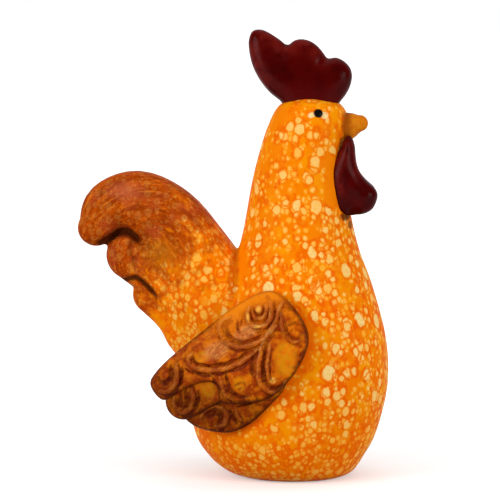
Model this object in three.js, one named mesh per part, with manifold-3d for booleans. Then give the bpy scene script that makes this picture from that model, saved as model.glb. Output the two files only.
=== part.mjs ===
// A standing rooster ornament in glazed earthenware, hollow, with its fittings luted on.
// The body is pressed in two moulds and joined along the centre line, and a slab closes the foot.
// Millimetres, +Z up, the beak towards +X and the right wing towards -Y.

import * as THREE from 'three';
import { mergeVertices } from 'three/addons/utils/BufferGeometryUtils.js';
import Module from 'manifold-3d';

const wasm = await Module();
wasm.setup();

// Clay thicknesses and clearances
const WALL = 5; // body wall
const JOINT = 0.3; // slip joint left open between two luted pieces
const SEAM = 0.3; // slip joint along the centre line of the body

// Body sections, foot to crown: height, rearmost x, foremost x and half width
const FOOT = { z: 0, back: -20.3, front: 24.3, half: 20 };
const FOOT_ROLL = { z: 2.6, back: -27.6, front: 29.6, half: 26 };
const HAUNCH = { z: 8.9, back: -35.2, front: 34, half: 32 };
const LOW_BELLY = { z: 20, back: -41.8, front: 39.8, half: 37 };
const BELLY = { z: 41, back: -44.2, front: 44.8, half: 40.5 };
const BREAST = { z: 62, back: -38.5, front: 44, half: 38.5 };
const SHOULDER = { z: 85, back: -28.4, front: 38, half: 30.5 };
const NECK_ROOT = { z: 105.3, back: -21, front: 30.8, half: 24.5 };
const NECK = { z: 132, back: -15.9, front: 25.6, half: 19.3 };
const NAPE = { z: 148, back: -11.8, front: 25.4, half: 17 };
const BROW = { z: 159, back: -7.9, front: 26.8, half: 15.1 };
const CROWN_EDGE = { z: 165.5, back: -4, front: 24.2, half: 12.4 };
const CROWN = { z: 168.6, back: 1.4, front: 18.6, half: 6.5 };
const CROWN_RISE = 0.8; // crown section to the very top of the head
const BODY_SECTIONS = [
  FOOT, FOOT_ROLL, HAUNCH, LOW_BELLY, BELLY, BREAST, SHOULDER,
  NECK_ROOT, NECK, NAPE, BROW, CROWN_EDGE, CROWN,
];
const OUTSIDE = { sides: 36, steps: 2 }; // facets around, and rings from one section to the next
const INSIDE = { sides: 24, steps: 1 };

// Foot opening and the slab that closes it
const FOOT_RING = 5.5; // width of the ring that the figure stands on, above the rebate
const REBATE = 2.5; // how far the slab's seat is let into that ring
const SLAB = 4; // slab thickness
const SLAB_RECESS = 1.5; // slab's underside above the table
const VENT_RADIUS = 5; // firing vent through the slab
const OVAL_SIDES = 32;

// Places that the fittings are measured from
const RUMP = { x: BELLY.back, z: BELLY.z };
const COMB_SEAT = { x: (CROWN.back + CROWN.front) / 2, z: CROWN.z };
const FACE = { x: BROW.front, z: BROW.z };
const THROAT = { x: NAPE.front, z: NAPE.z };

// Horns are tapering round-ended sweeps in an upright plane: x, z, half height and half thickness at
// each point. The section goes from round, 2, to slab-sided.
const HORN_SIDES = 16;
const HORN_STEPS = 2; // rings from one point to the next
const CAP_RINGS = 2; // rings on a round end
const TAIL_UPPER = {
  points: [
    [18.2, 29, 19, 24], [1.7, 57, 16.6, 17.5], [-10.8, 74.3, 14.6, 13.2],
    [-24.4, 82, 12.9, 10.8], [-36.6, 78.5, 11.3, 9], [-42.3, 69.3, 8.1, 6.8],
  ],
  section: 2.6,
};
const TAIL_MIDDLE = {
  points: [[20.2, 21, 17, 25], [-7.8, 48, 15, 14.2], [-26.4, 57.4, 11.2, 9.2]],
  section: 2.6,
};
const TAIL_LOWER = {
  points: [[28.2, 3, 18, 27], [0.2, 28.5, 14.8, 14.5], [-8.3, 34.4, 10.6, 10.6], [-16.8, 39.8, 8.9, 7]],
  section: 2.6,
};

const COMB_BACK = {
  points: [[0, -3.6, 9.4, 6.6], [-9, 8.4, 10, 6.4], [-17, 18, 9.4, 5.6], [-22.4, 25, 5.4, 3.8]],
  section: 2.4,
};
const COMB_MIDDLE = {
  points: [[1, -4.6, 10, 7], [-1.4, 8.4, 10, 6.8], [-4, 16.8, 9.4, 6]],
  section: 2.4,
};
const COMB_FRONT = {
  points: [[3, -3.6, 9, 6.6], [6.4, 5.4, 9.6, 6.6], [9.6, 9.8, 8.4, 5.8]],
  section: 2.4,
};

const BEAK = {
  points: [[-10.8, -3.6, 7.5, 6], [-1.8, -2.8, 6.8, 5.4], [3.2, -1.5, 5, 4.1], [6, -1, 3.2, 2.7]],
  section: 2,
};

const WATTLE_DROP = {
  points: [[0.6, 2, 1.8, 1.5], [-1, -9, 6.2, 4.6], [-0.6, -23.5, 7.2, 5.3]],
  section: 2,
};
const WATTLE_LOBE = {
  points: [[1.8, -6, 2, 1.8], [3, -18, 4.4, 4], [8.8, -24.4, 6, 4.8]],
  section: 2,
};
const WATTLE_DROP_OUT = 7.4; // side step of the drop from the centre line
const WATTLE_LOBE_OUT = 5;

// Wings: slabs cut from a domed sheet, a cover with a long feather over two shorter feathers.
// Outlines are x and z from the middle of the dome.
const WING_SET_BACK = 42.8; // middle of the dome behind the front of the belly
const WING_RISE = 7; // middle of the dome above the widest part of the belly
const WING_CENTRE = { x: BELLY.front - WING_SET_BACK, z: BELLY.z + WING_RISE };
const WING_DOME = { length: 80, height: 62 }; // half lengths of the dome that the sheet follows
const WING_SHEET = 9; // whole lapped sheet, where it hangs free of the body
const FEATHER_STEP = 2; // drop from one tier of feathers to the next
const LOWEST_FEATHER = 2.5; // lowest tier over the widest part of the belly
const WING_COVER = [
  [-60, -4], [-56.4, 2.6], [-36.5, 20], [-17, 34.5], [-5.5, 38], [6, 29], [10, 18], [5.5, 5],
  [-6, -7.5], [-20, -9.5], [-28.5, -6.5], [-38, -2.4], [-47, -7], [-54.2, -10.6],
];
const MIDDLE_FEATHER = { tip: [-45.6, -11.2], root: [-20, 3.2], half: 7.3 };
const LOWER_FEATHER = { tip: [-32.2, -15.2], root: [-7.5, -1.7], half: 9.6 };
const WING_DEEP = 60; // reach of the outline cutters across the figure
const DOME_SIDES = 44;
const OUTLINE_POINTS = 40;
const FEATHER_END_POINTS = 8;

// Eyes: enamel beads in sockets
const EYE = { behind: 13, above: 3.6, radius: 2.3, proud: 0.8 }; // measured from the face
const EYE_SIDES = 14;

// Finishes
const GLAZE = { color: 0xf28a12, roughness: 0.35, metalness: 0 };
const TAIL_WASH = { color: 0xb8641a, roughness: 0.45, metalness: 0 };
const WING_STAIN = { color: 0x8a4a12, roughness: 0.5, metalness: 0 };
const OXBLOOD = { color: 0x4a0a08, roughness: 0.4, metalness: 0 };
const BEAK_OCHRE = { color: 0xd98a1c, roughness: 0.45, metalness: 0 };
const BLACK_ENAMEL = { color: 0x0c0a09, roughness: 0.2, metalness: 0 };
const BARE_CLAY = { color: 0xb5714a, roughness: 0.9, metalness: 0 };

// Closed surfaces and booleans

// Closed skin over rings of equal count, with a pole point past each end
function skin(rings, startPole, endPole) {
  const sides = rings[0].length;
  const points = [...rings.flat(), startPole, endPole];
  const start = points.length - 2;
  const end = points.length - 1;
  const faces = [];
  for (let i = 0; i < sides; i += 1) {
    const next = (i + 1) % sides;
    for (let r = 0; r + 1 < rings.length; r += 1) {
      const low = r * sides;
      const high = low + sides;
      faces.push(low + i, low + next, high + next, low + i, high + next, high + i);
    }
    const last = (rings.length - 1) * sides;
    faces.push(start, next, i, end, last + i, last + next);
  }
  const geometry = new THREE.BufferGeometry().setFromPoints(points);
  geometry.setIndex(faces);
  return geometry;
}

// The same surface moved along its own normals, outwards for a positive distance
function grown(geometry, distance) {
  const copy = geometry.clone();
  copy.computeVertexNormals();
  const place = copy.getAttribute('position');
  const normal = copy.getAttribute('normal');
  for (let i = 0; i < place.count; i += 1) {
    place.setXYZ(
      i,
      place.getX(i) + normal.getX(i) * distance,
      place.getY(i) + normal.getY(i) * distance,
      place.getZ(i) + normal.getZ(i) * distance,
    );
  }
  copy.deleteAttribute('normal');
  return copy;
}

// Indexed geometry that holds each corner once
function welded(geometry) {
  const copy = geometry.clone();
  copy.deleteAttribute('normal');
  copy.deleteAttribute('uv');
  return mergeVertices(copy, 1e-4);
}

function solid(geometry) {
  const mesh = new wasm.Mesh({
    numProp: 3,
    vertProperties: new Float32Array(geometry.getAttribute('position').array),
    triVerts: new Uint32Array(geometry.index.array),
  });
  return new wasm.Manifold(mesh);
}

function surface(body) {
  const mesh = body.getMesh();
  const geometry = new THREE.BufferGeometry();
  geometry.setAttribute('position', new THREE.BufferAttribute(mesh.vertProperties, 3));
  geometry.setIndex(new THREE.BufferAttribute(mesh.triVerts, 1));
  return geometry;
}

// The largest of the separate bodies that a cut leaves
function largest(body) {
  return body.decompose().reduce((best, piece) => (piece.volume() > best.volume() ? piece : best));
}

// The mirror image across the centre plane, with its faces turned back outwards
function mirrored(geometry) {
  const copy = geometry.clone().scale(1, -1, 1);
  const index = copy.index.array;
  for (let i = 0; i < index.length; i += 3) {
    [index[i + 1], index[i + 2]] = [index[i + 2], index[i + 1]];
  }
  return copy;
}

// A plan outline raised along Z from one height to another
function raised(shape, bottom, top, curveSegments) {
  const options = { depth: top - bottom, bevelEnabled: false, curveSegments };
  return welded(new THREE.ExtrudeGeometry(shape, options).translate(0, 0, bottom));
}

// A side-view outline, x and z, carried across the right half of the figure
function acrossRight(shape, reach) {
  const geometry = new THREE.ExtrudeGeometry(shape, { depth: reach, bevelEnabled: false });
  return welded(geometry.rotateX(Math.PI / 2));
}

// Forms

function bodyGeometry({ sides, steps }) {
  const values = BODY_SECTIONS.flatMap(({ z, back, front, half }) => [z, back, front, half]);
  const places = BODY_SECTIONS.map((section, i) => i);
  const spline = new THREE.CubicInterpolant(places, values, 4);
  const ringCount = (BODY_SECTIONS.length - 1) * steps + 1;
  const rings = [];
  for (let r = 0; r < ringCount; r += 1) {
    const [z, back, front, half] = Array.from(spline.evaluate(r / steps));
    const ring = [];
    for (let i = 0; i < sides; i += 1) {
      const turn = (i / sides) * Math.PI * 2;
      const x = (back + front) / 2 + ((front - back) / 2) * Math.cos(turn);
      ring.push(new THREE.Vector3(x, half * Math.sin(turn), z));
    }
    rings.push(ring);
  }
  const sole = new THREE.Vector3((FOOT.back + FOOT.front) / 2, 0, FOOT.z);
  const top = new THREE.Vector3((CROWN.back + CROWN.front) / 2, 0, CROWN.z + CROWN_RISE);
  return skin(rings, sole, top);
}

// A cosine or sine drawn towards the corners of its square
function blunted(share, section) {
  return Math.sign(share) * Math.abs(share) ** (2 / section);
}

// A round-ended sweep through points measured from a seat, at a side step from the centre plane
function horn({ points, section }, seat, side = 0) {
  const stops = points.map(([x, z]) => new THREE.Vector3(seat.x + x, side, seat.z + z));
  const spine = new THREE.CatmullRomCurve3(stops);
  const girths = points.map(([, , half, thick]) => new THREE.Vector3(half, thick, 0));
  const sizes = new THREE.CatmullRomCurve3(girths);
  const stations = (points.length - 1) * HORN_STEPS;
  const rings = [];
  const addRing = (centre, tangent, half, thick) => {
    const across = new THREE.Vector3(tangent.z, 0, -tangent.x);
    const ring = [];
    for (let i = 0; i < HORN_SIDES; i += 1) {
      const turn = (i / HORN_SIDES) * Math.PI * 2;
      const point = centre.clone().addScaledVector(across, half * blunted(Math.cos(turn), section));
      point.y += thick * blunted(Math.sin(turn), section);
      ring.push(point);
    }
    rings.push(ring);
  };
  for (let s = 0; s <= stations; s += 1) {
    const t = s / stations;
    const { x: half, y: thick } = sizes.getPoint(t);
    addRing(spine.getPoint(t), spine.getTangent(t), half, thick);
  }
  const end = spine.getPoint(1);
  const ahead = spine.getTangent(1);
  const { x: endHalf, y: endThick } = sizes.getPoint(1);
  for (let c = 1; c <= CAP_RINGS; c += 1) {
    const lean = (c / (CAP_RINGS + 1)) * (Math.PI / 2);
    const centre = end.clone().addScaledVector(ahead, endHalf * Math.sin(lean));
    addRing(centre, ahead, endHalf * Math.cos(lean), endThick * Math.cos(lean));
  }
  const geometry = skin(rings, spine.getPoint(0), end.clone().addScaledVector(ahead, endHalf));
  return signedVolume(geometry) < 0 ? turnedOver(geometry) : geometry;
}

function signedVolume(geometry) {
  const place = geometry.getAttribute('position');
  const [a, b, c] = [new THREE.Vector3(), new THREE.Vector3(), new THREE.Vector3()];
  let volume = 0;
  for (let i = 0; i < geometry.index.count; i += 3) {
    a.fromBufferAttribute(place, geometry.index.getX(i));
    b.fromBufferAttribute(place, geometry.index.getX(i + 1));
    c.fromBufferAttribute(place, geometry.index.getX(i + 2));
    volume += a.dot(b.cross(c)) / 6;
  }
  return volume;
}

function turnedOver(geometry) {
  const index = geometry.index.array;
  for (let i = 0; i < index.length; i += 3) {
    [index[i + 1], index[i + 2]] = [index[i + 2], index[i + 1]];
  }
  return geometry;
}

// Ellipse of the foot, drawn in by an inset
function footOval(inset) {
  const centre = (FOOT.back + FOOT.front) / 2;
  const length = (FOOT.front - FOOT.back) / 2 - inset;
  const shape = new THREE.Shape();
  shape.absellipse(centre, 0, length, FOOT.half - inset, 0, Math.PI * 2);
  return shape;
}

// Dome that the wing's sheet follows, lowered towards the body by a depth
function wingDome(depth) {
  const geometry = new THREE.SphereGeometry(1, DOME_SIDES, DOME_SIDES / 2);
  const crown = bodyOuter.boundingBox.max.y + LOWEST_FEATHER + FEATHER_STEP * 2;
  geometry.scale(WING_DOME.length, crown - depth, WING_DOME.height);
  return solid(welded(geometry.translate(WING_CENTRE.x, 0, WING_CENTRE.z)));
}

function coverOutline() {
  const place = ([x, z]) => new THREE.Vector3(WING_CENTRE.x + x, WING_CENTRE.z + z, 0);
  const curve = new THREE.CatmullRomCurve3(WING_COVER.map(place), true);
  return new THREE.Shape(curve.getPoints(OUTLINE_POINTS).slice(0, -1));
}

// A feather seen from the side: parallel edges and round ends, widened all round by an allowance
function featherOutline({ tip, root, half }, allowance = 0) {
  const lean = Math.atan2(root[1] - tip[1], root[0] - tip[0]);
  const { x, z } = WING_CENTRE;
  const shape = new THREE.Shape();
  shape.absarc(x + tip[0], z + tip[1], half + allowance, lean + Math.PI / 2, lean + Math.PI * 1.5);
  shape.absarc(x + root[0], z + root[1], half + allowance, lean - Math.PI / 2, lean + Math.PI / 2);
  return new THREE.Shape(shape.getPoints(FEATHER_END_POINTS));
}

// The space on the figure's right, from a distance off the centre plane
function rightOf(distance) {
  const span = (CROWN.z + BELLY.front - BELLY.back) * 2;
  const box = new THREE.BoxGeometry(span, span, span).translate(0, -span / 2 - distance, 0);
  return solid(welded(box));
}

// Pieces

const bodyOuter = bodyGeometry(OUTSIDE);
bodyOuter.computeBoundingBox();
const bodyFilled = solid(bodyOuter);
const bodyKeepOut = solid(grown(bodyOuter, JOINT));

// Eye centre on the side of the head, sunk so that the bead stands proud by its set amount
function eyeCentre() {
  const centre = new THREE.Vector3(FACE.x - EYE.behind, -WING_DEEP, FACE.z + EYE.above);
  const ray = new THREE.Raycaster(centre, new THREE.Vector3(0, 1, 0));
  const head = new THREE.Mesh(bodyOuter, new THREE.MeshBasicMaterial());
  const [hit] = ray.intersectObject(head);
  return centre.setY(hit.point.y - EYE.proud + EYE.radius);
}

function eyeBead(radius) {
  const { x, y, z } = eyeCentre();
  return welded(new THREE.SphereGeometry(radius, EYE_SIDES, EYE_SIDES / 2).translate(x, y, z));
}

function bodyRightHalf() {
  const cavity = solid(grown(bodyGeometry(INSIDE), -WALL));
  const slabTop = SLAB_RECESS + SLAB;
  const below = FOOT.z - WALL;
  const opening = solid(raised(footOval(FOOT_RING), below, slabTop + WALL, OVAL_SIDES / 4));
  const seat = solid(raised(footOval(FOOT_RING - REBATE), below, slabTop + JOINT, OVAL_SIDES / 4));
  const socket = solid(eyeBead(EYE.radius + JOINT));
  const shell = bodyFilled.subtract(cavity).subtract(opening).subtract(seat).subtract(socket);
  return surface(shell.intersect(rightOf(SEAM / 2)));
}

function baseSlab() {
  const shape = footOval(FOOT_RING - REBATE + JOINT);
  const vent = new THREE.Path();
  vent.absarc((FOOT.back + FOOT.front) / 2, 0, VENT_RADIUS, 0, Math.PI * 2);
  shape.holes.push(vent);
  return raised(shape, SLAB_RECESS, SLAB_RECESS + SLAB, OVAL_SIDES / 4);
}

function tailPlumes() {
  const upper = horn(TAIL_UPPER, RUMP);
  const middle = horn(TAIL_MIDDLE, RUMP);
  const lower = horn(TAIL_LOWER, RUMP);
  const keepOutUpper = solid(grown(upper, JOINT));
  const keepOutMiddle = solid(grown(middle, JOINT));
  return {
    tail_upper_plume: surface(largest(solid(upper).subtract(bodyKeepOut))),
    tail_middle_plume: surface(largest(solid(middle).subtract(keepOutUpper).subtract(bodyKeepOut))),
    tail_lower_plume: surface(
      largest(solid(lower).subtract(keepOutUpper).subtract(keepOutMiddle).subtract(bodyKeepOut)),
    ),
  };
}

function comb() {
  const lobes = [COMB_BACK, COMB_MIDDLE, COMB_FRONT].map((lobe) => solid(horn(lobe, COMB_SEAT)));
  return surface(largest(lobes[0].add(lobes[1]).add(lobes[2]).subtract(bodyKeepOut)));
}

function beak() {
  return surface(largest(solid(horn(BEAK, FACE)).subtract(bodyKeepOut)));
}

function rightWattle() {
  const drop = solid(horn(WATTLE_DROP, THROAT, -WATTLE_DROP_OUT));
  const lobe = solid(horn(WATTLE_LOBE, THROAT, -WATTLE_LOBE_OUT));
  const beakKeepOut = solid(grown(horn(BEAK, FACE), JOINT));
  const pendant = drop.add(lobe).intersect(rightOf(JOINT / 2));
  return surface(largest(pendant.subtract(bodyKeepOut).subtract(beakKeepOut)));
}

function rightWing() {
  const cutter = (shape) => solid(acrossRight(shape, WING_DEEP));
  const tier = (step) => wingDome(FEATHER_STEP * step);
  const under = wingDome(WING_SHEET);
  const lower = cutter(featherOutline(LOWER_FEATHER)).intersect(tier(2)).subtract(under);
  const middle = cutter(featherOutline(MIDDLE_FEATHER)).intersect(tier(1)).subtract(under);
  const keepOut = (feather, step) => {
    const over = wingDome(FEATHER_STEP * step - JOINT);
    return cutter(featherOutline(feather, JOINT)).intersect(over);
  };
  const lowerKeepOut = keepOut(LOWER_FEATHER, 2);
  const middleKeepOut = keepOut(MIDDLE_FEATHER, 1);
  const cover = cutter(coverOutline()).intersect(tier(0)).subtract(under);
  const seated = (body) => surface(largest(body.subtract(bodyKeepOut)));
  return {
    cover: seated(cover.subtract(middleKeepOut).subtract(lowerKeepOut)),
    middle_feather: seated(middle.subtract(lowerKeepOut)),
    lower_feather: seated(lower),
  };
}

// Assembly

const rooster = new THREE.Group();

function place(name, geometry, finish) {
  geometry.computeVertexNormals();
  const mesh = new THREE.Mesh(geometry, new THREE.MeshStandardMaterial(finish));
  mesh.name = name;
  rooster.add(mesh);
}

// A piece for the right side under one name, and its mirror image for the left under the other
function placePair(rightName, leftName, geometry, finish) {
  place(leftName, mirrored(geometry), finish);
  place(rightName, geometry, finish);
}

placePair('body_right_half', 'body_left_half', bodyRightHalf(), GLAZE);
place('base_slab', baseSlab(), BARE_CLAY);
Object.entries(tailPlumes()).forEach(([name, geometry]) => place(name, geometry, TAIL_WASH));
place('comb', comb(), OXBLOOD);
place('beak', beak(), BEAK_OCHRE);
placePair('wattle_right', 'wattle_left', rightWattle(), OXBLOOD);
placePair('eye_right', 'eye_left', eyeBead(EYE.radius), BLACK_ENAMEL);
Object.entries(rightWing()).forEach(([part, geometry]) => {
  placePair(`wing_right_${part}`, `wing_left_${part}`, geometry, WING_STAIN);
});

// The origin is at the middle of the figure's footprint, on the table
const extent = new THREE.Box3().setFromObject(rooster);
const centre = extent.getCenter(new THREE.Vector3());
rooster.children.forEach((mesh) => mesh.position.set(-centre.x, -centre.y, -extent.min.z));

export default rooster;
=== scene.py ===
"""A standing rooster ornament in glazed earthenware, dressed for a product picture.

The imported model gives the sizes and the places. This script models the glazed skin, the lapped wings
with their scrolls, the comb, wattles, beak and eyes over it, and gives each one its finish.
Lengths in the tables are millimetres, x from the figure's own middle line; meshes are in metres.
"""

import logging
import math
from collections.abc import Sequence
from dataclasses import dataclass
from enum import Enum
from typing import Any

import bpy
import numpy as np
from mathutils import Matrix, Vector


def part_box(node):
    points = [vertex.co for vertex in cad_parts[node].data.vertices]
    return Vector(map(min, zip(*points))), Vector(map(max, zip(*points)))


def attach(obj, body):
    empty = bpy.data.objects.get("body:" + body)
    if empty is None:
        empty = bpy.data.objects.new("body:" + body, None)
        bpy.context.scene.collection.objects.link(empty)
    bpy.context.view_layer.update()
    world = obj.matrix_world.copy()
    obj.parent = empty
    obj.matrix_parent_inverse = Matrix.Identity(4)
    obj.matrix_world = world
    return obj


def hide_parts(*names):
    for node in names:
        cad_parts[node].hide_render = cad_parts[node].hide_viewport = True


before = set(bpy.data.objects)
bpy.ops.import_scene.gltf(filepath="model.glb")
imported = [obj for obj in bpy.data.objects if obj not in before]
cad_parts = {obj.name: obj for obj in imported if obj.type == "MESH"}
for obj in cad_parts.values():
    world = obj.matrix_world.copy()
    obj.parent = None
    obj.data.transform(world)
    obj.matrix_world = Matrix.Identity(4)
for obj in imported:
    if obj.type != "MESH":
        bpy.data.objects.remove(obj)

LOG = logging.getLogger("rooster")
MM = 0.001
LEAST_GAP = 1e-4
LINE_STEPS = 6
FOOT_CENTRE = 2.0
TAIL_CORNER = 0.82
FULL_TURN = 360.0
DISPLAY_KNEE = 0.04045
DISPLAY_SLOPE = 12.92
DISPLAY_OFFSET = 0.055
DISPLAY_POWER = 2.4

Pair = tuple[float, float]
Triple = tuple[float, float, float]
Stop = tuple[float, float, float, float]
Path = tuple[Pair, ...]
Array = np.ndarray
Colour = tuple[float, float, float, float]
Piece = bpy.types.Object
Material = bpy.types.Material
Socket = bpy.types.NodeSocket
Value = Socket | float | Sequence[float]


class Side(Enum):
    """Side of the figure, as the sign of its y."""

    RIGHT = -1
    LEFT = 1


class Slot(Enum):
    """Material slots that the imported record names."""

    GLAZE = "glaze"
    WING = "wing_stain"
    OXBLOOD = "oxblood"
    BEAK = "beak_ochre"
    ENAMEL = "black_enamel"
    CLAY = "bare_clay"


def hue(code: str) -> Colour:
    """Turns a display colour into the linear colour that shaders take.

    Args:
        code: Six hexadecimal digits, red, green and blue.

    Returns:
        Linear red, green, blue and an alpha of one.
    """
    linear = []
    for level in bytes.fromhex(code):
        share = level / 255
        if share <= DISPLAY_KNEE:
            linear.append(share / DISPLAY_SLOPE)
        else:
            linear.append(((share + DISPLAY_OFFSET) / (1 + DISPLAY_OFFSET)) ** DISPLAY_POWER)
    red, green, blue = linear
    return (red, green, blue, 1.0)


def smoothstep(low: float, high: float, value: Array) -> Array:
    """Rises smoothly from 0 at `low` to 1 at `high`, or falls where `low` is the larger."""
    share = np.clip((value - low) / (high - low), 0.0, 1.0)
    return share * share * (3 - 2 * share)


class Knots(Enum):
    """How the knots of a curve follow its points, as a power of the squared gaps between them."""

    SPACED = 0.25
    EVEN = 0.0


def spline(
    points: Sequence[Sequence[float]],
    at: float,
    knots: Knots = Knots.SPACED,
    closed: bool = False,
) -> Array:
    """Evaluates a Catmull-Rom curve.

    Args:
        points: Points that the curve goes through.
        at: Place along the curve, 0 to 1.
        knots: How the knots follow the points.
        closed: Whether the last point runs on to the first.

    Returns:
        The point on the curve.
    """
    rows = np.asarray(points, float)
    count = len(rows)
    spans = count if closed else count - 1
    index = min(int(at * spans), spans - 1)
    share = at * spans - index
    if closed:
        p0, p1, p2, p3 = (rows[(index + k) % count] for k in (-1, 0, 1, 2))
    else:
        p1, p2 = rows[index], rows[index + 1]
        p0 = rows[index - 1] if index > 0 else 2 * p1 - p2
        p3 = rows[index + 2] if index + 2 < count else 2 * p2 - p1
    runs = (p1 - p0, p2 - p1, p3 - p2)
    before, here, after = [max(float(np.sum(run**2)) ** knots.value, LEAST_GAP) for run in runs]
    start = (runs[0] / before - (p2 - p0) / (before + here) + runs[1] / here) * here
    end = (runs[1] / here - (p3 - p1) / (here + after) + runs[2] / after) * here
    square, cube = share**2, share**3
    return (
        p1
        + start * share
        + (3 * (p2 - p1) - 2 * start - end) * square
        + (2 * (p1 - p2) + start + end) * cube
    )


def smooth_line(points: Sequence[Pair]) -> Array:
    """Draws a smooth open line through points."""
    count = (len(points) - 1) * LINE_STEPS
    return np.array([spline(points, step / count) for step in range(count + 1)])


class Bench:
    """The tools on the modelling bench."""

    PRESSURE = 0.5

    @staticmethod
    def clear() -> None:
        """Leaves edit mode and lets go of everything."""
        if bpy.context.object and bpy.context.object.mode != "OBJECT":
            bpy.ops.object.mode_set(mode="OBJECT")
        bpy.ops.object.select_all(action="DESELECT")

    @staticmethod
    def pick(*objects: Piece) -> None:
        """Selects only some objects.

        Args:
            *objects: The objects; the first one becomes active.
        """
        Bench.clear()
        for item in objects:
            item.select_set(True)
        bpy.context.view_layer.objects.active = objects[0]

    @staticmethod
    def join(name: str, *objects: Piece) -> Piece:
        """Joins objects into the first one.

        Args:
            name: Name of the joined object.
            *objects: The objects.

        Returns:
            The joined object.
        """
        Bench.pick(*objects)
        bpy.ops.object.join()
        joined = bpy.context.object
        joined.name = joined.data.name = name
        return joined

    @staticmethod
    def modify(item: Piece, kind: str, **settings: Any) -> None:
        """Adds one modifier to an object and applies it.

        Args:
            item: The object.
            kind: Modifier type.
            **settings: Modifier properties.
        """
        Bench.pick(item)
        modifier = item.modifiers.new(kind.lower(), kind)
        for key, value in settings.items():
            setattr(modifier, key, value)
        bpy.ops.object.modifier_apply(modifier=modifier.name)

    @staticmethod
    def knead(item: Piece, voxel: float, strokes: int) -> None:
        """Turns overlapping closed forms into one smooth skin.

        Args:
            item: The object.
            voxel: Grain of the skin in millimetres.
            strokes: Rounds of smoothing.
        """
        Bench.modify(item, "REMESH", mode="VOXEL", voxel_size=voxel * MM, use_smooth_shade=True)
        Bench.smooth(item, strokes)

    @staticmethod
    def smooth(item: Piece, strokes: int, group: str = "") -> None:
        """Smooths a mesh.

        Args:
            item: The object.
            strokes: Rounds of smoothing.
            group: Vertex group that is smoothed; all of the mesh where it has no name.
        """
        Bench.modify(item, "SMOOTH", factor=Bench.PRESSURE, iterations=strokes, vertex_group=group)

    @staticmethod
    def turn_out(item: Piece) -> None:
        """Turns the faces of a closed mesh outwards.

        Args:
            item: The object.
        """
        Bench.pick(item)
        bpy.ops.object.mode_set(mode="EDIT")
        bpy.ops.mesh.select_all(action="SELECT")
        bpy.ops.mesh.normals_make_consistent(inside=False)
        bpy.ops.object.mode_set(mode="OBJECT")

    @staticmethod
    def _read(item: Piece, key: str) -> Array:
        """Reads three numbers of every vertex.

        Args:
            item: The object.
            key: Name of the vertex property.

        Returns:
            A row for each vertex.
        """
        flat = np.empty(len(item.data.vertices) * 3)
        item.data.vertices.foreach_get(key, flat)
        return flat.reshape(-1, 3)

    @staticmethod
    def points(item: Piece) -> Array:
        """Reads the vertex places of a mesh in millimetres."""
        return Bench._read(item, "co") / MM

    @staticmethod
    def normals(item: Piece) -> Array:
        """Reads the vertex normals of a mesh."""
        return Bench._read(item, "normal")

    @staticmethod
    def place(item: Piece, places: Array) -> None:
        """Writes vertex places, given in millimetres, to a mesh."""
        item.data.vertices.foreach_set("co", (places * MM).ravel())
        item.data.update()

    @staticmethod
    def paint(item: Piece, name: str, values: Array) -> None:
        """Stores one number per vertex for the material to read."""
        layer = item.data.attributes.new(name, "FLOAT", "POINT")
        layer.data.foreach_set("value", values.astype(np.float32))

    @staticmethod
    def hollows(item: Piece, strokes: int, reach: float) -> Array:
        """Measures how far each vertex lies below the smoothed surface.

        Args:
            item: The object.
            strokes: Rounds of smoothing that level the surface.
            reach: Depth in millimetres that counts as fully hollow.

        Returns:
            Hollowness of each vertex, 0 to 1.
        """
        level = item.copy()
        level.data = item.data.copy()
        bpy.context.collection.objects.link(level)
        Bench.smooth(level, strokes)
        depth = np.sum((Bench.points(level) - Bench.points(item)) * Bench.normals(item), axis=1)
        bpy.data.objects.remove(level)
        return np.clip(depth / reach, 0.0, 1.0)


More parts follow.
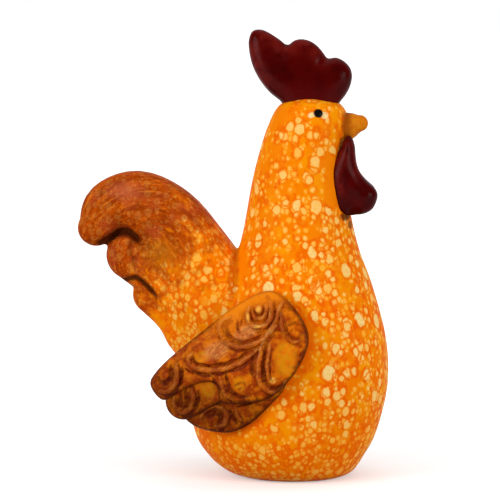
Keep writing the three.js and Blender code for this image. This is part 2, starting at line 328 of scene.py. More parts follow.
class Sheet:
    """A flat sheet of clay cut along an outline, drawn in x and z, with its thickness along y later."""

    EDGE_STEPS = 4
    STROKES = 5
    LEAST_RUN = 1e-9

    @staticmethod
    def line(outline: Path) -> Array:
        """Smooths an outline into a row of points."""
        count = len(outline) * LINE_STEPS
        return np.array([spline(outline, step / count, closed=True) for step in range(count)])

    @staticmethod
    def rim(outline: Path) -> Array:
        """Smooths an outline into a row of points that ends where it starts."""
        line = Sheet.line(outline)
        return np.vstack([line, line[:1]])

    @staticmethod
    def cut(name: str, outline: Path, thickness: float, edge: float, grain: float) -> Piece:
        """Cuts a sheet with rounded edges.

        Args:
            name: Object name.
            outline: Points of the outline in millimetres.
            thickness: Thickness of the sheet in millimetres.
            edge: Radius of its edges in millimetres.
            grain: Grain of the mesh in millimetres.

        Returns:
            The sheet, lying flat.
        """
        curve = bpy.data.curves.new(name, "CURVE")
        curve.dimensions = "2D"
        curve.fill_mode = "BOTH"
        curve.extrude = (thickness / 2 - edge) * MM
        curve.bevel_depth = edge * MM
        curve.bevel_resolution = Sheet.EDGE_STEPS
        curve.offset = -edge * MM
        points = Sheet.line(outline)
        line = curve.splines.new("POLY")
        line.points.add(len(points) - 1)
        line.use_cyclic_u = True
        for point, (x, z) in zip(line.points, points):
            point.co = (x * MM, z * MM, 0.0, 1.0)
        sheet = bpy.data.objects.new(name, curve)
        bpy.context.collection.objects.link(sheet)
        Bench.pick(sheet)
        bpy.ops.object.convert(target="MESH")
        sheet = bpy.context.object
        Bench.knead(sheet, grain, Sheet.STROKES)
        return sheet

    @staticmethod
    def nearest(places: Array, line: Array) -> tuple[Array, Array]:
        """Finds the nearest place on a row of points joined by straight lines.

        Args:
            places: Rows of x and z.
            line: Rows of x and z.

        Returns:
            Distance of each place, and how far along the line its nearest place is, 0 to 1.
        """
        gaps = np.full(len(places), np.inf)
        along = np.zeros(len(places))
        spans = len(line) - 1
        for index in range(spans):
            start, run = line[index], line[index + 1] - line[index]
            share = np.clip((places - start) @ run / max(run @ run, Sheet.LEAST_RUN), 0.0, 1.0)
            gap = np.linalg.norm(places - start - share[:, None] * run, axis=1)
            closer = gap < gaps
            gaps[closer] = gap[closer]
            along[closer] = (index + share[closer]) / spans
        return gaps, along


@dataclass(frozen=True)
class Ring:
    """One cross-section of a loft: centre, half sizes and lean about the y axis."""

    x: float
    z: float
    half: float
    thick: float
    lean: float = 0.0
    y: float = 0.0

    def centre(self) -> Vector:
        """Centre of the ring in metres."""
        return Vector((self.x, self.y, self.z)) * MM


class Loft:
    """A closed form that grows ring by ring out of one section."""

    ROUND_SIDES = 64
    CORNER_STEPS = 6
    ROUND_CORNER = 0.5
    LEAST_TURN = 1e-6

    def __init__(self, name: str, first: Ring, corner: float = 0.0) -> None:
        """Draws the first section.

        Args:
            name: Object name.
            first: Where the form starts.
            corner: Share of a half size that the corners of a slab-sided section take; 0 for round.
        """
        Bench.clear()
        if corner:
            bpy.ops.mesh.primitive_plane_add(size=2.0)
        else:
            bpy.ops.mesh.primitive_circle_add(vertices=self.ROUND_SIDES, radius=1.0, fill_type="NGON")
        self.item = bpy.context.object
        self.item.name = self.item.data.name = name
        bpy.ops.object.mode_set(mode="EDIT")
        bpy.ops.mesh.select_all(action="SELECT")
        if corner:
            bpy.ops.mesh.bevel(
                offset=corner,
                segments=self.CORNER_STEPS,
                profile=self.ROUND_CORNER,
                affect="VERTICES",
            )
        bpy.ops.transform.resize(
            value=(first.half * MM, first.thick * MM, 1.0), center_override=(0.0, 0.0, 0.0)
        )
        self._turn(first.lean, Vector((0.0, 0.0, 0.0)))
        bpy.ops.transform.translate(value=first.centre())
        self.last = first

    @staticmethod
    def _turn(angle: float, centre: Vector) -> None:
        """Turns the selection about the y axis through a point."""
        if abs(angle) > Loft.LEAST_TURN:
            bpy.ops.transform.rotate(value=-angle, orient_axis="Y", center_override=centre)

    def grow(self, ring: Ring) -> None:
        """Extrudes the open end to the next ring.

        Args:
            ring: The section that the end takes.
        """
        centre = ring.centre()
        bpy.ops.mesh.extrude_region_move(
            TRANSFORM_OT_translate={"value": centre - self.last.centre()}
        )
        self._turn(-self.last.lean, centre)
        bpy.ops.transform.resize(
            value=(ring.half / self.last.half, ring.thick / self.last.thick, 1.0),
            center_override=centre,
        )
        self._turn(ring.lean, centre)
        self.last = ring

    def close(self) -> Piece:
        """Finishes the form with its faces turned outwards.

        Returns:
            The form.
        """
        Bench.turn_out(self.item)
        return self.item


@dataclass(frozen=True)
class Horn:
    """A tapering, round-ended sweep in an upright plane."""

    name: str
    stops: tuple[Stop, ...]
    corner: float = 0.0
    side: float = 0.0
    blunt: float = 1.0

    STEPS = 5
    NUDGE = 1e-3
    CAP = 6
    CAP_SHORT = 0.4

    def rings(self, seat: Pair) -> list[Ring]:
        """Works out the sections from root to tip.

        Args:
            seat: Row x and z that the stops are measured from.

        Returns:
            Sections, the round end included.
        """
        spine = [(seat[0] + x, seat[1] + z) for x, z, _, _ in self.stops]
        girth = [(half, thick) for _, _, half, thick in self.stops]
        count = (len(self.stops) - 1) * self.STEPS
        made = []
        for step in range(count + 1):
            at = step / count
            x, z = spline(spine, at)
            half, thick = spline(girth, at)
            ahead = spline(spine, min(at + self.NUDGE, 1.0))
            dx, dz = ahead - spline(spine, max(at - self.NUDGE, 0.0))
            made.append(Ring(x, z, half, thick, math.atan2(dx, dz), self.side))
        tip = made[-1]
        for step in range(1, self.CAP + 1):
            swing = step / (self.CAP + self.CAP_SHORT) * math.pi / 2
            reach = tip.half * self.blunt * math.sin(swing)
            made.append(
                Ring(
                    tip.x + reach * math.sin(tip.lean),
                    tip.z + reach * math.cos(tip.lean),
                    tip.half * math.cos(swing),
                    tip.thick * math.cos(swing),
                    tip.lean,
                    self.side,
                )
            )
        return made

    def build(self, seat: Pair) -> Piece:
        """Lofts the horn.

        Args:
            seat: Row x and z that the stops are measured from.

        Returns:
            The horn.
        """
        rings = self.rings(seat)
        loft = Loft(self.name, rings[0], self.corner)
        for ring in rings[1:]:
            loft.grow(ring)
        return loft.close()


@dataclass(frozen=True)
class Ramp:
    """A smooth change from `start`, where a measure is `low`, to `end`, where it is `high`."""

    low: float
    high: float
    start: float = 0.0
    end: float = 1.0


@dataclass(frozen=True)
class Cloud:
    """Cloudy noise: the size of a cloud in millimetres, the ramp over it and its finer noise."""

    grain: float
    ramp: Ramp
    detail: float = 2.0
    roughness: float = 0.5


class Nodes:
    """A node tree, built socket by socket."""

    MIDDLE = (0.5, 0.5, 0.5)
    FACTOR = 3
    MIX_A = 6
    MIX_B = 7
    MIX_RESULT = 2

    def __init__(self, tree: bpy.types.NodeTree) -> None:
        """Takes up a tree."""
        self.tree = tree

    def feed(self, socket: Socket, value: Value | None) -> None:
        """Links a socket to another one, or sets its constant."""
        if isinstance(value, Socket):
            self.tree.links.new(value, socket)
        elif value is not None:
            socket.default_value = value

    def node(self, kind: str, **settings: Any) -> bpy.types.Node:
        """Adds a node.

        Args:
            kind: Node type.
            **settings: Node properties.

        Returns:
            The node.
        """
        made = self.tree.nodes.new(kind)
        for key, value in settings.items():
            setattr(made, key, value)
        return made

    def vector(
        self, operation: str, a: Value, b: Value | None = None, scale: float | None = None
    ) -> Socket:
        """Vector arithmetic.

        Args:
            operation: Name of the operation.
            a: First vector.
            b: Second vector.
            scale: Factor of a SCALE.

        Returns:
            The vector, or the number for a LENGTH.
        """
        made = self.node("ShaderNodeVectorMath", operation=operation)
        self.feed(made.inputs[0], a)
        self.feed(made.inputs[1], b)
        self.feed(made.inputs[self.FACTOR], scale)
        return made.outputs["Value" if operation == "LENGTH" else "Vector"]

    def math(self, operation: str, *values: Value) -> Socket:
        """Plain arithmetic.

        Args:
            operation: Name of the operation.
            *values: One to three values.

        Returns:
            The result.
        """
        made = self.node("ShaderNodeMath", operation=operation)
        for socket, value in zip(made.inputs, values):
            self.feed(socket, value)
        return made.outputs["Value"]

    def times(self, a: Value, b: Value) -> Socket:
        """Product of two values."""
        return self.math("MULTIPLY", a, b)

    def axes(self, vector: Value) -> tuple[Socket, ...]:
        """Splits a vector or a colour.

        Args:
            vector: The vector or colour.

        Returns:
            Its three numbers.
        """
        made = self.node("ShaderNodeSeparateXYZ")
        self.feed(made.inputs[0], vector)
        return tuple(made.outputs)

    def bundle(self, x: Value, y: Value, z: Value) -> Socket:
        """Makes a vector of three numbers.

        Args:
            x: First number.
            y: Second number.
            z: Third number.

        Returns:
            The vector.
        """
        made = self.node("ShaderNodeCombineXYZ")
        for socket, value in zip(made.inputs, (x, y, z)):
            self.feed(socket, value)
        return made.outputs["Vector"]

    def noise(self, vector: Value, grain: float, detail: float, roughness: float = 0.5) -> Socket:
        """Plain cloudy noise.

        Args:
            vector: Place in millimetres.
            grain: Size of a cloud in millimetres.
            detail: Octaves of finer noise.
            roughness: Weight of the finer noise.

        Returns:
            A value that mostly lies between 0.3 and 0.7.
        """
        made = self.node("ShaderNodeTexNoise")
        self.feed(made.inputs["Vector"], vector)
        made.inputs["Scale"].default_value = 1 / grain
        made.inputs["Detail"].default_value = detail
        made.inputs["Roughness"].default_value = roughness
        return made.outputs["Fac"]

    def cloud(self, vector: Value, cloud: Cloud) -> Socket:
        """Cloudy noise taken through its ramp."""
        return self.ramp(self.noise(vector, cloud.grain, cloud.detail, cloud.roughness), cloud.ramp)

    def drift(self, vector: Value, *wobbles: Pair) -> Value:
        """Moves places about, so that what is drawn there gets uneven edges.

        Args:
            vector: Place in millimetres.
            *wobbles: Grain and reach of each move in millimetres.

        Returns:
            The moved place.
        """
        for grain, reach in wobbles:
            made = self.node("ShaderNodeTexNoise")
            self.feed(made.inputs["Vector"], vector)
            made.inputs["Scale"].default_value = 1 / grain
            made.inputs["Detail"].default_value = 1.0
            centred = self.vector("SUBTRACT", made.outputs["Color"], self.MIDDLE)
            vector = self.vector("ADD", vector, self.vector("SCALE", centred, scale=2 * reach))
        return vector

    def cells(self, vector: Value, cell: float) -> tuple[Socket, ...]:
        """Scattered points and the cells round them.

        Args:
            vector: Place in millimetres.
            cell: Spacing of the points in millimetres.

        Returns:
            Distance to the nearest point and to the edge of its cell, both in spacings, and a random
            colour for each point.
        """
        made = self.node("ShaderNodeTexVoronoi")
        edge = self.node("ShaderNodeTexVoronoi", feature="DISTANCE_TO_EDGE")
        for texture in (made, edge):
            self.feed(texture.inputs["Vector"], vector)
            texture.inputs["Scale"].default_value = 1 / cell
        return made.outputs["Distance"], edge.outputs["Distance"], made.outputs["Color"]

    def ramp(self, value: Value, ramp: Ramp) -> Socket:
        """Takes a value through a ramp and holds it at its ends.

        Args:
            value: The value.
            ramp: The ramp.

        Returns:
            The result.
        """
        made = self.node("ShaderNodeMapRange", interpolation_type="SMOOTHSTEP")
        keys = ("Value", "From Min", "From Max", "To Min", "To Max")
        for key, number in zip(keys, (value, ramp.low, ramp.high, ramp.start, ramp.end)):
            self.feed(made.inputs[key], number)
        return made.outputs["Result"]

    def mix(self, share: Value, a: Value, b: Value) -> Socket:
        """Mixes two colours.

        Args:
            share: Weight of the second colour.
            a: First colour.
            b: Second colour.

        Returns:
            The mixed colour.
        """
        made = self.node("ShaderNodeMix", data_type="RGBA")
        self.feed(made.inputs["Factor"], share)
        self.feed(made.inputs[self.MIX_A], a)
        self.feed(made.inputs[self.MIX_B], b)
        return made.outputs[self.MIX_RESULT]


class Graph(Nodes):
    """Node tree of one material."""

    def __init__(self, name: str) -> None:
        """Starts an empty material.

        Args:
            name: Material name.
        """
        self.material = bpy.data.materials.new(name)
        self.material.use_nodes = True
        super().__init__(self.material.node_tree)
        self.tree.nodes.clear()

    def place(self) -> Socket:
        """Place on the object in millimetres."""
        coordinates = self.node("ShaderNodeTexCoord")
        return self.vector("SCALE", coordinates.outputs["Object"], scale=1 / MM)

    def painted(self, name: str) -> Socket:
        """A number stored on the vertices."""
        return self.node("ShaderNodeAttribute", attribute_name=name).outputs["Fac"]

    def bump(self, height: Value, depth: float, strength: float) -> Socket:
        """Fine surface grain.

        Args:
            height: Height of the surface, 0 to 1.
            depth: Depth of the grain in millimetres.
            strength: How much of it shows.

        Returns:
            The grained normal.
        """
        made = self.node("ShaderNodeBump")
        made.inputs["Strength"].default_value = strength
        made.inputs["Distance"].default_value = depth * MM
        self.feed(made.inputs["Height"], height)
        return made.outputs["Normal"]

    def finish(self, **sockets: Value) -> Material:
        """Ends in the surface.

        Args:
            **sockets: Values for the surface, with spaces in their names written as underscores.

        Returns:
            The material.
        """
        surface = self.node("ShaderNodeBsdfPrincipled")
        for key, value in sockets.items():
            self.feed(surface.inputs[key.replace("_", " ")], value)
        output = self.node("ShaderNodeOutputMaterial")
        self.tree.links.new(surface.outputs["BSDF"], output.inputs["Surface"])
        return self.material


@dataclass(frozen=True)
class Skin:
    """Fine grain of a finished surface: size of its noise, octaves, depth in millimetres, strength."""

    grain: float
    detail: float
    depth: float
    strength: float

    def normal(self, graph: Graph, place: Value) -> Socket:
        """Normal of the grained surface."""
        return graph.bump(graph.noise(place, self.grain, self.detail), self.depth, self.strength)


@dataclass(frozen=True)
class Bubbles:
    """One size of pale bubbles: spacing in millimetres, share kept, radii in spacings, milkiness."""

    spacing: float
    kept: float
    least: float
    most: float
    milk: float
    gap: float = 0.055
    swell: float = 0.1
    milk_spread: float = 0.6
    milk_drop: float = 0.2

    OUTSIDE = -10.0

    def room(self, graph: Graph, place: Value, crowd: Value) -> tuple[Socket, Socket]:
        """Measures the bubbles, with a thin line of glaze left between neighbours.

        Args:
            graph: Material being built.
            place: Place with uneven edges.
            crowd: How crowded the bubbles are there.

        Returns:
            Millimetres inside the edge of the nearest bubble, negative outside it, and how milky it is.
        """
        distance, edge, colour = graph.cells(place, self.spacing)
        chance, tint, _ = graph.axes(colour)
        dropped = 1 - self.kept
        radius = graph.ramp(chance, Ramp(dropped, 1.0, self.least, self.most))
        radius = graph.math("MULTIPLY_ADD", crowd, self.swell, radius)
        inside = graph.math("SUBTRACT", radius, distance)
        inside = graph.math("MINIMUM", inside, graph.math("SUBTRACT", edge, self.gap))
        shown = graph.math("GREATER_THAN", chance, dropped)
        shown = graph.math("MULTIPLY_ADD", shown, -2 * self.OUTSIDE, self.OUTSIDE)
        room = graph.math("MINIMUM", graph.times(inside, self.spacing), shown)
        milk = graph.math("MULTIPLY_ADD", tint, self.milk_spread, self.milk - self.milk_drop)
        return room, milk


@dataclass(frozen=True)
class Smear:
    """A touch of colour on the body, a brush mark, painted shade or painted highlight: its middle, half
    sizes, strength and colour.

    It is at full strength inside its heart, a share of the half sizes, and fades from there.
    """

    middle: Triple
    reach: Triple
    strength: float
    colour: Colour
    heart: float = 0.55

    def over(self, graph: Graph, place: Value, colour: Value) -> Socket:
        """Lays the touch over a colour.

        Args:
            graph: Material being built.
            place: Ragged place in millimetres, with the left side folded onto the right one.
            colour: Colour under the touch.

        Returns:
            The touched colour.
        """
        offset = graph.vector("SUBTRACT", place, self.middle)
        shape = graph.vector("DIVIDE", offset, self.reach)
        fade = Ramp(1.0, self.heart, 0.0, self.strength)
        return graph.mix(graph.ramp(graph.vector("LENGTH", shape), fade), colour, self.colour)


@dataclass(frozen=True)
class TailWash:
    """Brown wash on the tail, brushed along its arc."""

    wash: Colour = hue("B84803")
    amber: Colour = hue("DA6C14")
    umber: Colour = hue("842801")
    tan: Colour = hue("CC7A30")
    rose: Colour = hue("B84A2A")
    arc: Pair = (-35.7, 96.0)
    sweep: float = 5.0
    streak: Cloud = Cloud(3.4, Ramp(0.36, 0.64), 5.0, 0.65)
    light: Cloud = Cloud(1.6, Ramp(0.5, 0.66, 0.0, 0.8), 4.0, 0.7)
    blush: Cloud = Cloud(9.0, Ramp(0.5, 0.66, 0.0, 0.4), 3.0)
    grain: Cloud = Cloud(1.0, Ramp(0.47, 0.64, 0.0, 0.75), 4.0, 0.7)
    grain_wobble: Pair = (2.0, 0.8)
    blotch: Cloud = Cloud(6.0, Ramp(0.3, 0.7, -0.22, 0.22), 4.0, 0.6)
    blotched: Ramp = Ramp(0.02, 0.2)
    raggedness: float = 0.3
    full: Ramp = Ramp(0.35, 0.9)
    laid: Ramp = Ramp(0.1, 0.8, 0.0, 0.95)
    bubbles_shown: float = 0.3

    def over(self, graph: Graph, place: Value, colour: Value, pale: Value) -> Socket:
        """Lays the wash over the glaze.

        Args:
            graph: Material being built.
            place: Place in millimetres.
            colour: Glaze under the wash.
            pale: Where the bubbles are.

        Returns:
            The washed colour.
        """
        x, y, z = graph.axes(place)
        across = graph.math("SUBTRACT", x, self.arc[0])
        above = graph.math("SUBTRACT", z, self.arc[1])
        radius = graph.vector("LENGTH", graph.bundle(across, 0.0, above))
        turn = graph.math("ARCTAN2", above, across)
        brush = graph.bundle(radius, y, graph.times(turn, self.sweep))
        streak = graph.cloud(brush, self.streak)
        painted = graph.painted("wash")
        ragged = graph.math("SUBTRACT", streak, 0.5)
        ragged = graph.math("MULTIPLY_ADD", ragged, self.raggedness, painted)
        blotch = graph.times(graph.cloud(place, self.blotch), graph.ramp(painted, self.blotched))
        ragged = graph.math("ADD", ragged, blotch)
        full = graph.ramp(painted, self.full)
        grain = graph.cloud(graph.drift(place, self.grain_wobble), self.grain)
        tone = graph.mix(graph.times(streak, full), self.wash, self.umber)
        tone = graph.mix(graph.cloud(brush, self.light), tone, self.amber)
        tone = graph.mix(graph.times(graph.cloud(place, self.blush), full), tone, self.rose)
        tone = graph.mix(graph.times(pale, self.bubbles_shown), tone, self.tan)
        tone = graph.mix(graph.times(grain, full), tone, self.umber)
        return graph.mix(graph.ramp(ragged, self.laid), colour, tone)


@dataclass(frozen=True)
class SpottedGlaze:
    """Orange glaze with pale bubbles, under a brown wash on the tail, with painted shade in its
    hollows.
    """

    orange: Colour = hue("F79401")
    deep: Colour = hue("F47C00")
    ember: Colour = hue("EC5800")
    halo: Colour = hue("FAA018")
    straw: Colour = hue("FBAA30")
    honey: Colour = hue("FDB84C")
    cream: Colour = hue("FAD488")
    speck: Colour = hue("E4B65E")
    # Dark of the painted shade in the hollows and in the creases of the tail.
    stain: Colour = hue("2C0E03")
    roughness: float = 0.48
    specular: float = 0.015
    skin: Skin = Skin(1.4, 3.0, 0.05, 0.6)
    wash: TailWash = TailWash()
    bubbles: tuple[Bubbles, ...] = (
        Bubbles(6.6, 0.60, 0.19, 0.44, 0.80),
        Bubbles(4.5, 0.76, 0.22, 0.44, 0.38),
        Bubbles(2.5, 0.88, 0.25, 0.45, 0.1),
    )
    fades: Triple = (-3.2, -0.1, 0.7)
    wobbles: Path = ((2.2, 0.68), (0.8, 0.2))
    stretch: Triple = (1.0, 1.0, 0.84)
    line: float = 0.4
    crowd: Cloud = Cloud(20.0, Ramp(0.36, 0.62, -0.6, 0.5))
    calming: float = 5.0
    bleeding: float = 2.0
    zone: Cloud = Cloud(14.0, Ramp(0.34, 0.54), 3.0)
    zone_high: Ramp = Ramp(130.0, 70.0, 0.8, 1.0)
    zone_small: Ramp = Ramp(0.0, 1.0, 1.0, 0.4)
    heat: Cloud = Cloud(8.0, Ramp(0.34, 0.54, 0.4, 1.0))
    heat_small: Ramp = Ramp(0.0, 1.0, 1.0, 0.9)
    heat_reach: Ramp = Ramp(-2.1, -0.3)
    bleed_shade: float = 0.6
    fleck: Cloud = Cloud(0.9, Ramp(0.46, 0.62), 3.0)
    flecked: float = 0.6
    milk_small: Ramp = Ramp(0.0, 1.0, 1.0, 0.35)
    milk_high: Ramp = Ramp(95.0, 130.0, 1.0, 0.52)
    milk_edge: Ramp = Ramp(0.05, 0.6, 0.4, 1.0)
    honeyed: Ramp = Ramp(0.0, 0.4)
    halo_reach: Ramp = Ramp(-0.7, 0.0, 0.0, 0.42)
    bubble_edge: Ramp = Ramp(-0.18, 0.26)
    washed_edge: Ramp = Ramp(-0.1, 0.3)
    hollow_shade: float = 0.88
    smear_wobbles: Path = ((3.0, 0.8), (1.1, 0.6))
    smears: tuple[Smear, ...] = (
        Smear((36.6, -13.5, 161.6), (2.0, 4.0, 1.8), 0.9, hue("FBDC9A")),
        Smear((41.9, -13.0, 161.8), (1.7, 4.0, 1.8), 0.9, hue("FBDC9A")),
        # Painted shade where the beak meets the head.
        Smear((51.6, -5.0, 158.0), (3.4, 8.0, 8.4), 0.85, hue("96440A")),
        # The next two: the dark smudge under the wattles, painted shadow with brown stain.
        Smear((51.8, -9.0, 117.2), (4.2, 8.0, 2.6), 0.85, hue("4A1E04")),
        Smear((53.6, -8.0, 113.6), (2.0, 8.0, 3.0), 0.75, hue("6A3006")),
        # Painted shade in the crease between the tail and the neck.
        Smear((2.0, -14.0, 91.0), (3.2, 30.0, 13.0), 0.4, hue("A84C06")),
        # Painted highlight: a rosy sheen on the upper tail.
        Smear((-46.8, -8.0, 127.6), (13.0, 30.0, 6.5), 0.42, hue("CC6A4A"), 0.0),
        Smear((-30.0, -10.0, 100.0), (13.0, 34.0, 11.0), 0.45, hue("B8760C"), 0.0),
    )

    def _foam(self, graph: Graph, place: Value, small: Value) -> tuple[Value, ...]:
        """Packs the bubbles of every size, the smaller ones between the larger.

        Args:
            graph: Material being built.
            place: Place in millimetres.
            small: Where only small bubbles lie.

        Returns:
            Millimetres inside the edge of the nearest bubble, negative outside it, how milky it is, and
            the same millimetres for the larger bubbles alone.
        """
        uneven = graph.vector("MULTIPLY", graph.drift(place, *self.wobbles), self.stretch)
        crowd = graph.cloud(place, self.crowd)
        crowd = graph.math("SUBTRACT", crowd, graph.times(graph.painted("calm"), self.calming))
        crowd = graph.math("SUBTRACT", crowd, graph.times(graph.painted("bleed_and_shade"), self.bleeding))
        crowd = graph.math("ADD", crowd, graph.painted("busy"))
        room: Value = Bubbles.OUTSIDE
        large: Value = Bubbles.OUTSIDE
        milk: Value = 0.0
        for size, fade in zip(self.bubbles, self.fades):
            here = graph.math("MULTIPLY_ADD", small, fade, crowd)
            fresh, tint = size.room(graph, uneven, here)
            fresh = graph.math("MINIMUM", fresh, graph.math("SUBTRACT", -self.line, room))
            newer = graph.math("GREATER_THAN", fresh, room)
            milk = graph.math("MULTIPLY_ADD", newer, graph.math("SUBTRACT", tint, milk), milk)
            large = room
            room = graph.math("MAXIMUM", room, fresh)
        return room, milk, large

    def _ground(self, graph: Graph, place: Value, small: Value, near: Value) -> Socket:
        """Colours the glaze between the bubbles, reddened round the wings as painted shade.

        Args:
            graph: Material being built.
            place: Place in millimetres.
            small: Where only small bubbles lie.
            near: Millimetres inside the edge of the bubble that reddens the glaze round it.

        Returns:
            The colour.
        """
        _, _, height = graph.axes(place)
        high = graph.ramp(height, self.zone_high)
        zone = graph.times(graph.cloud(place, self.zone), high)
        zone = graph.times(zone, graph.ramp(small, self.zone_small))
        heat = graph.times(graph.cloud(place, self.heat), high)
        heat = graph.times(heat, graph.ramp(small, self.heat_small))
        ground = graph.mix(zone, self.orange, self.deep)
        ground = graph.mix(graph.times(graph.ramp(near, self.heat_reach), heat), ground, self.ember)
        # Painted shade with a redder glaze, in front of and below the wings.
        return graph.mix(graph.times(graph.painted("bleed_and_shade"), self.bleed_shade), ground, self.ember)

    def _pale(self, graph: Graph, place: Value, small: Value, room: Value, milk: Value) -> Socket:
        """Colours the bubbles, milkier in their middles.

        Args:
            graph: Material being built.
            place: Place in millimetres.
            small: Where only small bubbles lie.
            room: Millimetres inside the edge of the nearest bubble.
            milk: How milky that bubble is.

        Returns:
            The colour.
        """
        _, _, height = graph.axes(place)
        milk = graph.times(milk, graph.ramp(small, self.milk_small))
        milk = graph.times(milk, graph.ramp(height, self.milk_high))
        milk = graph.times(milk, graph.ramp(room, self.milk_edge))
        fleck = graph.times(graph.cloud(place, self.fleck), self.flecked)
        core = graph.mix(fleck, self.cream, self.speck)
        rim = graph.mix(graph.ramp(milk, self.honeyed), self.straw, self.honey)
        return graph.mix(milk, rim, core)

    def material(self) -> Material:
        """Builds the glaze.

        Returns:
            The material.
        """
        graph = Graph("spotted_glaze")
        place = graph.place()
        small = graph.painted("small")
        room, milk, large = self._foam(graph, place, small)
        near = graph.math("MULTIPLY_ADD", small, graph.math("SUBTRACT", room, large), large)
        colour = self._ground(graph, place, small, near)
        colour = graph.mix(graph.ramp(room, self.halo_reach), colour, self.halo)
        pale = self._pale(graph, place, small, room, milk)
        colour = graph.mix(graph.ramp(room, self.bubble_edge), colour, pale)
        colour = self.wash.over(graph, place, colour, graph.ramp(room, self.washed_edge))
        x, y, z = graph.axes(place)
        folded = graph.bundle(x, graph.times(graph.math("ABSOLUTE", y), -1.0), z)
        ragged = graph.drift(folded, *self.smear_wobbles)
        for smear in self.smears:
            colour = smear.over(graph, ragged, colour)
        # Painted shade: the hollows of the skin and the creases of the tail are darkened.
        colour = graph.mix(graph.times(graph.painted("hollow"), self.hollow_shade), colour, self.stain)
        return graph.finish(
            Base_Color=colour,
            Roughness=self.roughness,
            Specular_IOR_Level=self.specular,
            Normal=self.skin.normal(graph, place),
        )


@dataclass(frozen=True)
class WingStain:
    """Amber glaze over scrolls, stained dark in the hollows, with painted highlight, shadow and shade.
    """

    amber: Colour = hue("BC4E06")
    gold: Colour = hue("E27A08")
    olive: Colour = hue("D48A0A")
    russet: Colour = hue("983404")
    rose: Colour = hue("D68848")
    ridge: Colour = hue("A8561E")
    # Painted highlight on the lit upper-left sides of the scrolls.
    crest_highlight: Colour = hue("D08A46")
    bright: Colour = hue("F6B044")
    # Dark of the stain in the grooves; it also carries the painted shadow below the scrolls.
    stain: Colour = hue("581602")
    # Dark of the painted shade low down and along the slabs' edges.
    painted_shade: Colour = hue("2A0700")
    orange: Colour = hue("F2860E")
    roughness: float = 0.4
    specular: float = 0.03
    lean: Pair = (0.83, 0.55)
    sweep: float = 0.35
    fine: Cloud = Cloud(1.1, Ramp(0.38, 0.64), 4.0, 0.65)
    fine_depth: float = 0.08
    fine_strength: float = 0.6
    dull: Cloud = Cloud(6.0, Ramp(0.38, 0.66), 4.0, 0.6)
    warm: Cloud = Cloud(4.0, Ramp(0.4, 0.64), 3.0, 0.6)
    gilded: float = 0.75
    pool: Cloud = Cloud(2.4, Ramp(0.4, 0.62), 4.0, 0.6)
    pool_rust: Cloud = Cloud(4.6, Ramp(0.5, 0.7, 0.0, 0.45), 4.0, 0.65)
    pooled: float = 0.85
    blushed: Ramp = Ramp(0.0, 1.0, 0.35, 0.85)
    shouldered: float = 0.85
    bared: Ramp = Ramp(0.0, 1.0, 0.45, 0.3)
    worn: Ramp = Ramp(0.0, 1.0, 0.25, 0.72)
    brightened: float = 0.85
    rubbed: Cloud = Cloud(5.0, Ramp(0.38, 0.6, 0.78, 1.0), 3.0)
    rubbed_high: Ramp = Ramp(62.0, 84.0, 1.0, 0.62)
    grooved: Ramp = Ramp(0.0, 1.0, 1.0, 0.7)
    grit: Ramp = Ramp(0.5, 0.0, 0.0, 0.4)
    grimy: Ramp = Ramp(0.0, 0.4, 0.0, 0.35)
    shaded: float = 0.48

    def _glaze(self, graph: Graph, place: Value, warm: Value) -> Socket:
        """Colours the amber glaze with its pools, pinkish painted highlight and bright shoulder.

        Args:
            graph: Material being built.
            place: Place in millimetres.
            warm: Where the glaze is warmer.

        Returns:
            The colour.
        """
        colour = graph.mix(graph.cloud(place, self.dull), self.amber, self.russet)
        colour = graph.mix(graph.times(warm, self.gilded), colour, self.gold)
        pool = graph.mix(graph.cloud(place, self.pool), self.olive, self.gold)
        pool = graph.mix(graph.cloud(place, self.pool_rust), pool, self.russet)
        colour = graph.mix(graph.times(graph.painted("pocket"), self.pooled), colour, pool)
        # Pinkish painted highlight on the cover's rosy patches.
        blush = graph.times(graph.painted("blush"), graph.ramp(warm, self.blushed))
        colour = graph.mix(blush, colour, self.rose)
        return graph.mix(graph.times(graph.painted("shoulder"), self.shouldered), colour, self.orange)

    def _rubbed(self, graph: Graph, colour: Value, warm: Value, fine: Value) -> Socket:
        """Rubs the scrolls bare, paints highlight on their lit sides and lays on the pale spots.

        Args:
            graph: Material being built.
            colour: Glaze under them.
            warm: Where the glaze is warmer.
            fine: Fine brush marks.

        Returns:
            The colour.
        """
        bare = graph.times(graph.painted("relief"), graph.ramp(fine, self.bared))
        colour = graph.mix(bare, colour, self.ridge)
        # Painted highlight on the lit upper-left sides of the scrolls.
        worn = graph.times(graph.painted("crest_highlight"), graph.ramp(warm, self.worn))
        colour = graph.mix(worn, colour, self.crest_highlight)
        return graph.mix(graph.times(graph.painted("bright"), self.brightened), colour, self.bright)

    def _stained(self, graph: Graph, place: Value, colour: Value, fine: Value) -> Socket:
        """Leaves the dark stain in the hollows with the scrolls' painted shadow, some grime, and
        painted shade low down and along the edges.

        Args:
            graph: Material being built.
            place: Place in millimetres.
            colour: Glaze under it.
            fine: Fine brush marks.

        Returns:
            The colour.
        """
        _, _, height = graph.axes(place)
        left = graph.times(graph.cloud(place, self.rubbed), graph.ramp(height, self.rubbed_high))
        # The grooves carry the stain and the painted shadow that the scrolls cast.
        groove = graph.times(graph.painted("groove"), graph.ramp(fine, self.grooved))
        colour = graph.mix(graph.times(groove, left), colour, self.stain)
        clean = graph.math("MAXIMUM", graph.painted("pocket"), graph.painted("shoulder"))
        grime = graph.math("SUBTRACT", graph.ramp(fine, self.grit), clean)
        colour = graph.mix(graph.ramp(grime, self.grimy), colour, self.stain)
        # Painted shade: darker towards the lower left and along the slabs' edges.
        colour = graph.mix(graph.times(graph.painted("shade"), self.shaded), colour, self.painted_shade)
        return graph.mix(graph.painted("edge_shade"), colour, self.painted_shade)

